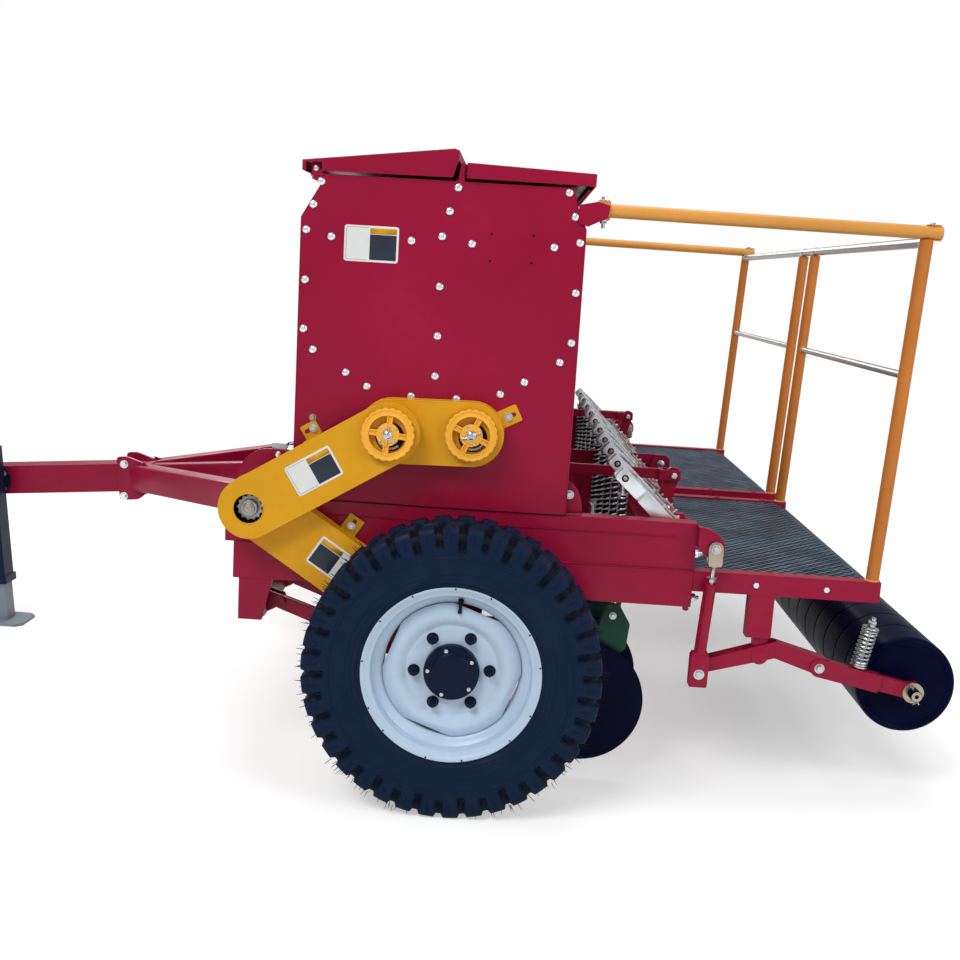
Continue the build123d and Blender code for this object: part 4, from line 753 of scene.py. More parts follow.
TAIL = (-1.222, 0.325)
HEADING = direction(LEVER_BOLT, TAIL)
LOW = LINK_TOP[1] - 0.047  # underside of the upper clevis
for side, tag, out in sides():
    sleeve = Piece("lever_sleeve_" + tag, crimson, body="roller_frame")
    shape = arc(LEVER_BOLT, 0.0245, HEADING + 90, HEADING + 270, 12)
    shape += [along(LEVER_BOLT, TAIL, 0.168, off) for off in (-0.0235, 0.0235)]
    side_prism(sleeve, shape, 1.2192, 0.0042, side, 0.001)
    corners = ((0.024, 0.0228), (0.166, 0.0228), (0.166, -0.0228), (0.024, -0.0228))
    body = [along(LEVER_BOLT, TAIL, run, off) for run, off in corners]
    side_prism(sleeve, body, 1.2155, 0.036, side, 0.002)
    side_prism(sleeve, arc(TAIL, 0.0262, HEADING - 90, HEADING + 90, 14), 1.2074, 0.025, side, 0.0012)
    sleeve.done()
    boss = Piece("lever_boss_" + tag, crimson, body="roller_frame")
    middle = beside(LEVER_PIN, side * 1.215)
    dish = [(0.0235, 0), (0.0232, 0.0008), (0.0212, 0.0018), (0.02, 0.001), (0.0188, 0.0016), (0.0, 0.0018)]
    boss.round(middle, out, dish, 36)
    weld(boss, at(-0.846, side * 1.2145, 0.4425), at(-0.846, side * 1.2145, 0.401), 0.0012, 0.005)
    boss.done()
    cover = Piece("yoke_cover_" + tag, crimson, body="roller_frame")
    fork = [
        (-0.6205, 0.3225), (-0.6655, 0.3225), (-0.667, 0.3255), (-0.667, 0.401), (-0.664, 0.404),
        (-0.622, 0.404), (-0.619, 0.401), (-0.619, 0.3245)
    ]
    side_prism(cover, fork, 1.2575, 0.003, side, 0.0009)
    side_prism(cover, fork, 1.225, 0.0025, side, 0.0008)
    cover.done()
    bolts = Piece("lever_bolts_" + tag, zinc, body="roller_frame")
    bolts.hex_bolt(beside(LEVER_FRONT, side * 1.2575), out, 0.018, 0.008)
    bolts.hex_bolt(beside(LEVER_BOLT, side * 1.2192), out, 0.017, 0.007)
    bolts.hex_bolt(beside(LEVER_FRONT, side * 1.175), -out, 0.018, 0.009, thread=0.006)
    bolts.hex_bolt(beside(LEVER_BOLT, side * 1.175), -out, 0.017, 0.009, thread=0.005)
    bolts.done()
    foot, head = at(-1.0745, side * LEVER_Y, 0.389), at(-1.094, side * LEVER_Y, 0.49)
    run = (head - foot).normalized()
    coil = Piece("roller_spring_" + tag, zinc, body="roller_frame")
    coil.coil(foot, head, 0.0222, 0.0029, 9.6, 16, 7, 1.0)
    coil.done(["roller_springs"] if side > 0 else ())
    stem = Piece("spring_rod_" + tag, zinc, body="roller_frame")
    stem.rod(foot - run * 0.018, head + run * 0.03, 0.0066)
    stem.round(
        head, run, [(0.0085, 0), (0.0215, 0.0004), (0.0225, 0.0026), (0.021, 0.0046), (0.0085, 0.005)], 30
    )
    stem.round(foot - run * 0.0045, run, [(0.0085, 0), (0.022, 0.0003), (0.022, 0.004), (0.0085, 0.0044)], 30)
    for lift in (0.0055, 0.015):
        stem.round(
            head + run * lift, run, [(0.0098, 0), (0.0112, 0.0008), (0.0112, 0.0068), (0.0098, 0.0078)], 6,
            lift * 40
        )
    for k in range(7):
        stem.round(
            head + run * (0.0225 + k * 0.0014), run, [(0.0066, 0), (0.0072, 0.0004), (0.0066, 0.0008)], 18
        )
    stem.done()

    bracket = Piece("link_bracket_" + tag, crimson, 30)
    shape = [(-0.6125, 0.744)] + [
        (-0.6125 - 0.07 * math.sin(a), 0.69 + 0.054 * math.cos(a)) for a in (0.25, 0.55, 0.85, 1.15, 1.4)
    ]
    shape += [(-0.6825, 0.676), (-0.676, 0.668), (-0.646, 0.662), (-0.6125, 0.686)]
    side_prism(bracket, shape, 1.2465, 0.013, side, 0.0012)
    block = [(-0.612, 0.744), (-0.627, 0.738), (-0.627, 0.69), (-0.612, 0.69)]
    side_prism(bracket, block, 1.24, 0.03, side, 0.0012)
    bracket.done(["link_brackets"] if side > 0 else ())

    # turnbuckle: gold clevis, threaded rod with its lock nuts, red tube and yoke
    clevis = Piece("clevis_" + tag, gold_zinc)
    feet = ((-0.0195, 0.04), (-0.0175, 0.044), (0.0155, 0.044), (0.0175, 0.04))
    ear = arc(LINK_TOP, 0.0192, 0, 180, 16) + [(LINK_TOP[0] + run, LINK_TOP[1] - drop) for run, drop in feet]
    for outer in (1.2562, 1.2306):
        side_prism(clevis, ear, outer, 0.0068, side, 0.0012)
    low = at(LINK_TOP[0] - 0.0165, side * 1.225, LOW)
    high = at(LINK_TOP[0] + 0.015, side * 1.2555, LINK_TOP[1] - 0.033)
    bridge = [(x, low.y, z) for x, z in ((low.x, low.z), (high.x, low.z), (high.x, high.z), (low.x, high.z))]
    clevis.prism(bridge, Vector((0, high.y - low.y, 0)), 0.0012)
    clevis.round(
        at(LINK_TOP[0], side * LINK_Y, LOW), (0, 0, -1), [(0.011, -0.001), (0.011, 0.003), (0.008, 0.0055)],
        24
    )
    clevis.done()
    hardware = Piece("link_hardware_" + tag, zinc)
    hardware.hex_bolt(beside(LINK_TOP, side * 1.2562), out, 0.016, 0.007)
    hardware.hex_bolt(beside(LINK_TOP, side * 1.2238), -out, 0.019, 0.0065, False)
    top = at(LINK_TOP[0], side * LINK_Y, LINK_TOP[1] - 0.048)
    low = at(LINK_TOP[0] + 0.003, side * LINK_Y, LINK_TOP[1] - 0.1)
    run = (low - top).normalized()
    hardware.rod(top, low, 0.0056)
    for k in range(14):
        hardware.round(
            top + run * (0.006 + k * 0.0022), run, [(0.0056, 0), (0.0063, 0.0007), (0.0056, 0.0014)], 18
        )
    for lift, size, tall in ((0.03, 0.015, 0.002), (0.0335, 0.0105, 0.01)):
        hardware.round(
            top + run * lift, run,
            [(size * 0.88, 0), (size, 0.0006), (size, tall - 0.0008), (size * 0.86, tall)], 6, lift * 60
        )
    hardware.done()
    tube = Piece("link_tube_" + tag, crimson)
    upper = at(LINK_TOP[0] + 0.004, side * LINK_Y, LINK_TOP[1] - 0.096)
    lower = at(LEVER_FRONT[0], side * LINK_Y, 0.402)
    run = (lower - upper).normalized()
    length = (lower - upper).length
    rim_profile = [
        (0.008, 0), (0.0175, 0.0005), (0.0182, 0.003), (0.0165, 0.006), (0.016, 0.008), (0.016, length)
    ]
    tube.round(upper, run, rim_profile, 32)
    wide = [
        (-0.619, 0.397), (-0.623, 0.41), (-0.663, 0.41), (-0.667, 0.397), (-0.667, 0.391), (-0.619, 0.391)
    ]
    side_prism(tube, wide, 1.2545, 0.029, side, 0.0012)
    for outer in (1.2545, 1.2325):
        for front in (-0.6255, -0.667):
            leg = [(front + 0.0065, 0.392), (front, 0.392), (front, 0.319), (front + 0.0065, 0.319)]
            side_prism(tube, leg, outer, 0.007, side, 0.0008)
        base = [(-0.619, 0.324), (-0.667, 0.324), (-0.665, 0.316), (-0.621, 0.316)]
        side_prism(tube, base, outer, 0.007, side, 0.001)
    weld(tube, lower + Vector((-0.017, 0, 0.008)), lower + Vector((0.017, 0, 0.008)), 0.0018, 0.005)
    tube.done(["roller_links"] if side > 0 else ())

# ============================== pressure levers ==============================
UNIT_Y = [0.25 * (k - 4.5) for k in range(10)]
SHAFT = Vector((-0.95, 0, 0.699))
TIP = Vector((-0.795, 0, 0.844))
LEVER_RUN = (TIP - SHAFT).normalized()
LEVER_UP = Vector((-LEVER_RUN.z, 0, LEVER_RUN.x))  # rearwards and up, off the lever's back


def lever_point(y, run, lift, sideways=0.0):
    """A point of one lever, from its shaft: along it, off its back and along Y."""
    return Vector((SHAFT.x, y + sideways, SHAFT.z)) + LEVER_RUN * run + LEVER_UP * lift


def lever_block(piece, y, runs, lifts, walls, bevel=0.0008):
    """A bevelled block set square to a lever."""
    corners = ((runs[0], lifts[0]), (runs[1], lifts[0]), (runs[1], lifts[1]), (runs[0], lifts[1]))
    face = [lever_point(y, run, lift, walls[0]) for run, lift in corners]
    piece.prism(face, Vector((0, walls[1] - walls[0], 0)), bevel)


cheeks = Piece("lever_cheeks", bright_zinc, 30, "rockshaft")
bars = Piece("lever_bars", gold_zinc, 30, "rockshaft")
fittings = Piece("lever_fittings", zinc, 30, "rockshaft")
sockets = Piece("lever_socket_shade", dark_gap_and_shade, 30, "rockshaft")
reach = (TIP - SHAFT).length
for y in UNIT_Y:
    for sign in (-1, 1):
        # cheek: a round-nosed strip outside the channel, with its joggle half way
        nose = arc((reach + 0.013, -0.0085), 0.0095, -90, 0, 5)
        nose += arc((reach + 0.013, 0.0085), 0.0095, 0, 90, 5) + [(0.15, 0.018), (0.15, -0.018)]
        heel = [(0.144, -0.0185), (0.144, 0.0185), (0.02, 0.0205), (0.02, -0.02)]
        for outline, thick, bevel in ((nose, 0.0034, 0.0008), (heel, 0.0046, 0.001)):
            face = [lever_point(y, run, lift, sign * 0.0252) for run, lift in outline]
            cheeks.prism(face, Vector((0, sign * thick, 0)), bevel)
        # a dark ring round each bolt's crown: painted shade in the hole it sits in
        ring = [(0.0098, 0), (0.0096, 0.0003), (0.005, 0.0004), (0.0, 0.0004)]
        sockets.round(lever_point(y, reach, 0, sign * 0.0286), (0, sign, 0), ring, 20)
        crown = [(0.0058, 0), (0.0056, 0.0022), (0.004, 0.0034), (0.0, 0.0036)]
        bars.round(lever_point(y, reach, 0, sign * 0.0288), (0, sign, 0), crown, 18)
    # bars and their bolts down the lever's back
    lever_block(bars, y, (-0.018, 0.074), (0.02, 0.025), (0.006, 0.021))
    lever_block(cheeks, y, (-0.018, 0.082), (0.0205, 0.0262), (-0.02, 0.002))
    for strip in ((-0.021, -0.007), (0.007, 0.021)):
        lever_block(cheeks, y, (0.08, 0.2), (0.0165, 0.0196), strip)
    # thin dark blocks down the lever's back: painted shade in its slots
    for slot in ((0.1, 0.128), (0.15, 0.178)):
        lever_block(sockets, y, slot, (0.0165, 0.0174), (-0.0065, 0.0065), 0.0002)
    for k, run in enumerate((-0.008, 0.012, 0.032, 0.052, 0.072)):
        if k % 2 == 0:
            fittings.hex_bolt(
                lever_point(y, run, 0.0258, -0.008 if k % 4 else 0.008), LEVER_UP, 0.0095, 0.006, False,
                0.0035
            )
        else:
            eye = lever_point(y, run, 0.0262, 0.0)
            fittings.rod(eye, eye + LEVER_UP * 0.0095, 0.003, 12)
            wire = [eye + LEVER_UP * 0.006 + Vector((0, s, 0)) for s in (-0.0085, 0.0, 0.0075)]
            wire.append(wire[-1] + LEVER_RUN * 0.0035)
            fittings.sweep(wire, 0.0009, 6)
for piece in (cheeks, bars, fittings, sockets):
    piece.done()

springs = Piece("pressure_coils", zinc, 60, "pressure_rods")
collars = Piece("rod_collars", zinc, 30, "pressure_rods")
# dark core inside each coil: painted shade between the coils
shades = Piece("spring_core_shade", dark_gap_and_shade, 60, "pressure_rods")
for y in UNIT_Y:
    low, high = Vector((TIP.x, y, 0.5855)), Vector((TIP.x, y, 0.7955))
    springs.coil(low, high, 0.0146, 0.0027, 14.0, 12, 6, 1.0)
    shades.rod((TIP.x, y, 0.586), (TIP.x, y, 0.795), 0.01, 16)
    collars.round(
        Vector((TIP.x, y, 0.579)), UP, [(0.0095, 0), (0.0168, 0.0004), (0.017, 0.0055), (0.016, 0.0062)], 28
    )
    collars.round(
        high, UP,
        [(0.015, 0.0), (0.0155, 0.0008), (0.0155, 0.0032), (0.008, 0.0036), (0.008, 0.009), (0.0072, 0.0098)],
        24
    )
    collars.rod((TIP.x, y, 0.4965), (TIP.x, y, 0.58), 0.0072, 20)
    for lift in (0.512, 0.57):
        collars.round(
            Vector((TIP.x, y, lift)), UP, [(0.0098, 0), (0.0108, 0.0008), (0.0108, 0.0064), (0.0098, 0.0072)],
            6, y * 7
        )
springs.done(["pressure_springs"])
shades.done()
collars.done()

# ================================ seed hoses =================================
HOSE_STEPS = 150
# each opener's front and rear hose: outlet's station, boot's station, shift along Y and sag
HOSES = ((0.203, -0.326, -0.015, (-0.02, 0, -0.024)), (-0.01, -0.35, 0.015, (-0.012, 0, -0.01)))
for unit, y in enumerate(UNIT_Y, start=1):
    for number, (station, foot, step, sag) in enumerate(HOSES, start=1):
        start, end = at(station - 0.002, y + step, 0.872), at(foot, y + step, 0.5)
        middle = start.lerp(end, 0.45) + Vector(sag)
        control = [start, start + Vector((0, 0, -0.09)), middle, end + Vector((0.012, 0, 0.075)), end]
        points, radii = [], []
        for k in range(HOSE_STEPS + 1):
            t = k / HOSE_STEPS
            layer = control
            while len(layer) > 1:
                layer = [layer[i].lerp(layer[i + 1], t) for i in range(len(layer) - 1)]
            points.append(layer[0])
            radii.append(0.0146 if k % 2 else 0.0128)
        piece = Piece("seed_hose_%d_%d" % (unit, number), hose_rubber, 60, None)
        piece.sweep(points, radii, 12)
        obj = piece.done(["seed_tubes"] if unit == number == 1 else ())
        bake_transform(obj)
clamps = Piece("hose_clamps", zinc, 30)
for y in UNIT_Y:
    for station, step in ((0.201, -0.015), (-0.012, 0.015)):
        clamps.round(
            at(station, y + step, 0.846), UP,
            [(0.0152, 0), (0.0158, 0.0006), (0.0158, 0.008), (0.0152, 0.0086)], 26
        )
        clamps.rod(
            at(station + 0.012, y + step - 0.01, 0.8503), at(station + 0.012, y + step + 0.01, 0.8503),
            0.0032, 10
        )
clamps.done()

# ============================= openers and discs =============================
for number, y in enumerate(UNIT_Y, start=1):
    outboard = math.copysign(1, y)
    centre = Vector((-0.72, y + outboard * 0.024, 0.222))
    out = Vector((0, outboard, 0))
    blade = Piece("disc_blade_%02d" % number, disc_navy, 30, "opener_disc_%02d" % number)
    profile = [
        (0.044, -0.0024), (0.1, -0.0023), (0.155, -0.0022), (0.17, -0.0008), (0.172, 0.0002), (0.17, 0.0012),
        (0.155, 0.0024), (0.1, 0.0025)
    ]
    profile += [
        (0.056, 0.0026), (0.054, 0.004), (0.044, 0.0052), (0.042, 0.0085), (0.03, 0.0098), (0.018, 0.01),
        (0.016, 0.0104), (0.0, 0.0104)
    ]
    blade.round(centre, out, profile, 72)
    inner = [(0.012, 0.0), (0.04, 0.0004), (0.0435, 0.003), (0.044, 0.0105)]
    blade.round(centre - out * 0.0124, out, inner, 40)
    blade.done(["opener_disc_%02d" % number])
    rivets = Piece("disc_rivets_%02d" % number, dull_steel, 30, "opener_disc_%02d" % number)
    for k in range(6):
        spot = turned(centre, TAU * k / 6 + 0.3, 0.049, outboard * 0.0046)
        rivets.dome_bolt(spot, out, 0.005, 0.0026)
    rivets.hex_bolt(centre + out * 0.01, out, 0.016, 0.006, False)
    rivets.done()
gang_bolts = Piece("gang_bolts", zinc, 30, "opener_gang")
for y in UNIT_Y:
    for sign in (-1, 1):
        face = y + sign * 0.011
        for station, z in ((-0.342, 0.354), (-0.342, 0.318), (-0.418, 0.462)):
            gang_bolts.hex_bolt(at(station, face, z), (0, sign, 0), 0.013, 0.006)
gang_bolts.done()
webs = Piece("boot_ribs", green, 30, "opener_gang")
rib = [(-0.33, 0.44), (-0.338, 0.44), (-0.352, 0.33), (-0.35, 0.25), (-0.34, 0.25), (-0.338, 0.33)]
for y in UNIT_Y:
    side_prism(webs, rib, abs(y), 0.0145, math.copysign(1, y), 0.001)
webs.done()

# ============================ hopper's end plates ============================
LIFT = 0.009  # bolt heights below are written from the floor under the tyre as it stands
FRONT_ROW = [
    (0.404, 1.55), (0.422, 1.493), (0.438, 1.43), (0.437, 1.305), (0.437, 1.181), (0.411, 1.129),
    (0.324, 1.075), (0.268, 1.042), (0.153, 1.024)
]
MIDDLE_ROW = [(0.06, 1.554), (0.078, 1.495), (0.094, 1.432), (0.094, 1.307), (0.093, 1.182), (0.094, 1.079)]
REAR_ROW = [
    (-0.218, 1.557), (-0.237, 1.499), (-0.253, 1.436), (-0.251, 1.311), (-0.249, 1.185), (-0.223, 1.134),
    (-0.136, 1.078), (-0.076, 1.043), (0.036, 1.024)
]
FRONT_LIP = [
    (0.0, 1.5745), (0.431, 1.5745), (0.4255, 1.565), (0.409, 1.559), (0.4055, 1.549), (0.429, 1.5085),
    (0.4515, 1.4695), (0.4515, 0.75)
]
REAR_LIP = [(0.0, 1.5745), (-0.232, 1.5745), (-0.2375, 1.538), (-0.2655, 1.4775), (-0.2655, 0.75)]
STAYS = [(0.374, 1.416), (0.171, 1.417), (0.018, 1.418), (-0.189, 1.421)]
# front and rear station, distance off the end plate, height, radius and pitch
BEAM_WELDS = [
    (-0.12, -0.61, 0.0002, 0.6205, 0.0021, 0.007), (0.42, 0.12, 0.0, 0.749, 0.0015, 0.006),
    (-0.776, -0.786, -0.0015, 0.5655, 0.0022, 0.005), (-0.818, -0.828, -0.0015, 0.5655, 0.0022, 0.005),
    (-0.7655, -0.8285, -0.001, 0.565, 0.0019, 0.005), (0.07, -0.07, -0.002, 0.5215, 0.0026, 0.006),
]
SPARE_HOLES = [(-0.03, 1.445), (-0.135, 1.447), (-0.029, 1.378), (-0.134, 1.379)]
for side, tag, out in sides():
    bolts = Piece("hopper_bolts_" + tag, bright_zinc, 34)
    for station, z in FRONT_ROW + MIDDLE_ROW + REAR_ROW + STAYS:
        bolts.dome_bolt(at(station, side * HALF, z + LIFT), out, 0.0108, 0.0058)
    bolts.done()
    # dark discs in the spare holes: painted shade
    holes = Piece("spare_hole_shade_" + tag, dark_gap_and_shade, 34)
    for station, z in SPARE_HOLES:
        holes.round(
            at(station, side * HALF, z + LIFT), out, [(0.0032, 0), (0.003, 0.0003), (0.0, 0.0003)], 16
        )
    holes.done()
    # folded lips round the end plate, and the seam over the side beam
    lips = Piece("end_plate_lips_" + tag, crimson, 60)
    for edge in (FRONT_LIP, REAR_LIP):
        lips.sweep(placed(edge, side * (HALF - 0.0008)), 0.0019, 6)
    lips.done()
    seam = Piece("beam_seam_" + tag, dark_gap_and_shade, 60)
    seam.sweep([at(0.452, side * HALF, 0.7462), at(-0.266, side * HALF, 0.7462)], 0.0014, 6)
    seam.done()
    welds = Piece("beam_welds_" + tag, crimson, 60)
    for front, rear, rise, z, radius, pitch in BEAM_WELDS:
        y = side * (HALF + rise)
        weld(welds, at(front, y, z), at(rear, y, z), radius, pitch)
    welds.done()
    ledge = Piece("beam_ledge_" + tag, crimson, 30)
    top = [(0.6, 0.6185), (-0.11, 0.6185), (-0.11, 0.6212), (0.6, 0.6212)]
    side_prism(ledge, top, HALF + 0.0022, 0.004, side, 0.0007)
    tab = [
        (-0.592, 0.5235), (-0.606, 0.5235), (-0.6085, 0.514), (-0.6035, 0.5105), (-0.5965, 0.5105),
        (-0.592, 0.514)
    ]
    side_prism(ledge, tab, HALF - 0.002, 0.008, side, 0.0015)
    press = [(0.43, 0.708), (-0.56, 0.708), (-0.56, 0.7096), (0.43, 0.7096)]
    side_prism(ledge, press, HALF + 0.0006, 0.0016, side, 0.0004)
    ledge.done()

# =============================== blank plates ================================
def blank_plate(name, centre, along_x, width, height, face_y, side=1, split=0.47):
    """A bare sign plate: white card with rounded corners, a fine border line and an empty dark field."""
    along_x = Vector((along_x[0], 0, along_x[1])).normalized()
    up = Vector((-along_x.z, 0, along_x.x))
    if up.z < 0:
        up = -up

    def card(piece, low, high, left, right, radius, thick, lift):
        corners = []
        for u, v, start in (
            (right - radius, high - radius, 0), (left + radius, high - radius, 90),
            (left + radius, low + radius, 180), (right - radius, low + radius, 270)
        ):
            for k in range(6):
                a = math.radians(start + 18 * k)
                corners.append((u + radius * math.cos(a), v + radius * math.sin(a)))
        base = Vector((AXLE + centre[0], side * (face_y + lift), centre[1]))
        piece.prism([base + along_x * u + up * v for u, v in corners], Vector((0, side * thick, 0)), 0.00015)

    half_w, half_h = width / 2, height / 2
    board = Piece("blank_plate_" + name, plate_white, 30)
    card(board, -half_h, half_h, -half_w, half_w, 0.0065, 0.0009, 0.0001)
    board.done()
    field = Piece("blank_field_" + name, plate_dark, 30)
    edge = 0.0055
    middle = -half_w + width * split
    card(field, -half_h + edge, half_h - edge - 0.016, middle, half_w - edge, 0.0012, 0.0003, 0.0009)
    line = 0.0007
    for low, high, left, right in (
        (half_h - edge, half_h - edge + line, -half_w + edge, middle - 0.004),
        (-half_h + edge - line, -half_h + edge, -half_w + edge, middle - 0.004),
        (-half_h + edge, half_h - edge, -half_w + edge - line, -half_w + edge),
    ):
        card(field, low, high, left, right, 0.0002, 0.0002, 0.0009)
    field.done()
    strip = Piece("blank_strip_" + name, yellow, 30)
    card(strip, half_h - edge - 0.0145, half_h - edge, middle, half_w - edge, 0.0012, 0.0003, 0.0009)
    strip.done()


GUARD_OUT, UPPER_OUT = 1.263, 1.311
JACKSHAFT, FRONT_METER, REAR_METER, WHEEL = (0.546, 0.73), (0.197, 0.945), (-0.01, 0.949), (0.0, 0.375)
blank_plate("hopper", (0.272, 1.412), (-1, 0.0), 0.138, 0.09, HALF)
blank_plate("hopper_right", (0.272, 1.412), (1, 0.0), 0.138, 0.09, HALF, -1)
upper_run = (FRONT_METER[0] - JACKSHAFT[0], FRONT_METER[1] - JACKSHAFT[1])
lower_run = (JACKSHAFT[0] - WHEEL[0], JACKSHAFT[1] - WHEEL[1])
spot = along(JACKSHAFT, FRONT_METER, 0.197, -0.006)
blank_plate("guard_upper", spot, upper_run, 0.13, 0.083, UPPER_OUT)
spot = along(WHEEL, JACKSHAFT, 0.392, 0.004)
blank_plate("guard_lower", spot, lower_run, 0.13, 0.083, GUARD_OUT)

# =============================== chain guards ================================
def stadium(start, end, radius, steps=16):
    """The outline of a bar with round ends."""
    heading = direction(start, end)
    first = arc(start, radius, heading + 90, heading + 270, steps)
    return first + arc(end, radius, heading - 90, heading + 90, steps)


beads = Piece("guard_edges", yellow, 60)
for start, end, radius, outer in (
    (WHEEL, JACKSHAFT, 0.078, GUARD_OUT), (JACKSHAFT, FRONT_METER, 0.078, UPPER_OUT),
    (FRONT_METER, REAR_METER, 0.082, GUARD_OUT)
):
    for y, r in ((outer - 0.0016, 0.0021), (outer - 0.0452, 0.0019)):
        ring = placed(stadium(start, end, radius - 0.0006), y)
        ring.append(ring[0])
        beads.sweep(ring, r, 8)
ring = placed(arc(JACKSHAFT, 0.0392, 0, 360, 40), UPPER_OUT - 0.0004)
beads.sweep(ring, 0.0016, 8)
beads.done()

TAB_FACE, TAB_WIDTH = 1.2186, 0.046
tabs = Piece("guard_tabs", yellow, 30)
tab_bolts = Piece("guard_tab_bolts", zinc, 30)
tab_slots = Piece("guard_tab_slots", crimson, 30)


def guard_tab(centre, heading, near, far, rise, slot_across=False):
    """A slotted tab bolted to the end plate, with the riser that carries its guard."""
    a = math.radians(heading)
    d = Vector((math.cos(a), math.sin(a)))
    n = Vector((-d.y, d.x))

    def spot(u, v):
        return (centre[0] + d.x * u + n.x * v, centre[1] + d.y * u + n.y * v)

    half = TAB_WIDTH / 2
    shape = [spot(near, -half), spot(near, half), spot(far - 0.003, half)]
    shape += [spot(far, half - 0.003), spot(far, 0.003 - half), spot(far - 0.003, -half)]
    side_prism(tabs, shape, TAB_FACE, 0.0032, 1, 0.0008)
    back, fore = near - 0.0005, near + 0.003
    riser = [spot(back, -half), spot(back, half), spot(fore, half), spot(fore, -half)]
    side_prism(tabs, riser, rise, rise - HALF - 0.0005, 1, 0.0008)
    middle = (near + far) / 2 + 0.002
    if slot_across:
        ends = (spot(middle, -0.0115), spot(middle, 0.0085))
        bolt = spot(middle, 0.0085)
    else:
        ends = (spot(middle - 0.009, 0.0), spot(middle + 0.01, 0.0))
        bolt = spot(middle - 0.006, 0.0)
    side_prism(tab_slots, stadium(*ends, 0.0055, 10), TAB_FACE + 0.0003, 0.0002, 1, 0.0)
    tab_bolts.hex_bolt(beside(bolt, TAB_FACE), LEFT, 0.014, 0.0062)


spot = along(JACKSHAFT, FRONT_METER, 0.222, 0.0)
guard_tab(spot, direction(JACKSHAFT, FRONT_METER) - 90, 0.0775, 0.117, 1.268, True)
spot = along(WHEEL, JACKSHAFT, 0.4125, 0.0)
guard_tab(spot, direction(WHEEL, JACKSHAFT) + 90, 0.0775, 0.126, 1.219)
guard_tab(REAR_METER, 152.6, 0.08, 0.133, 1.219)
for piece in (tabs, tab_bolts, tab_slots):
    piece.done()
small = Piece("guard_small_bolts", gold_zinc, 30)
spot = along(JACKSHAFT, FRONT_METER, 0.242, -0.124)
small.hex_bolt(beside(spot, HALF), LEFT, 0.012, 0.006)
small.hex_bolt(at(0.1255, GUARD_OUT, 0.965), LEFT, 0.008, 0.004, False)
small.done()

# sprocket and shaft end behind the sight hole
drive = Piece("jackshaft_end", dull_steel, 32)
shaft_end = [
    (0.0205, -0.004), (0.022, 0.0), (0.022, 0.0075), (0.0205, 0.009), (0.016, 0.0092), (0.015, 0.013),
    (0.012, 0.014), (0.0115, 0.0125), (0.0, 0.0125)
]
drive.round(beside(JACKSHAFT, 1.296), LEFT, shaft_end, 40)
mid = beside(JACKSHAFT, 0)
TEETH = 13
TOOTH = (0.0355, 0.0355, 0.0335, 0.03, 0.029, 0.029, 0.03, 0.0335)  # radii over one tooth
teeth = []
for k in range(TEETH * len(TOOTH)):
    reach = TOOTH[k % len(TOOTH)]
    a = TAU * k / (TEETH * len(TOOTH))
    teeth.append(Vector((mid.x + reach * math.cos(a), 1.2905, mid.z + reach * math.sin(a))))
drive.prism(teeth, Vector((0, -0.006, 0)), 0.0006)
drive.done(["jackshaft"])
copper = Piece("jackshaft_centre", gold_zinc, 32)
copper.round(
    beside(JACKSHAFT, 1.3086), LEFT,
    [(0.0092, 0), (0.0088, 0.0012), (0.004, 0.0014), (0.0028, 0.0002), (0.0, 0.0002)], 24
)
copper.rod(beside(JACKSHAFT, 1.216), beside(JACKSHAFT, 1.29), 0.012, 24)
copper.done()
# dark disc behind the sight hole: painted shade
well = Piece("sight_hole_shade", dark_gap_and_shade, 30)
well.round(beside(JACKSHAFT, 1.264), LEFT, [(0.054, 0), (0.054, 0.0006), (0.0, 0.0006)], 40)
well.done()


SCALLOPS = 22


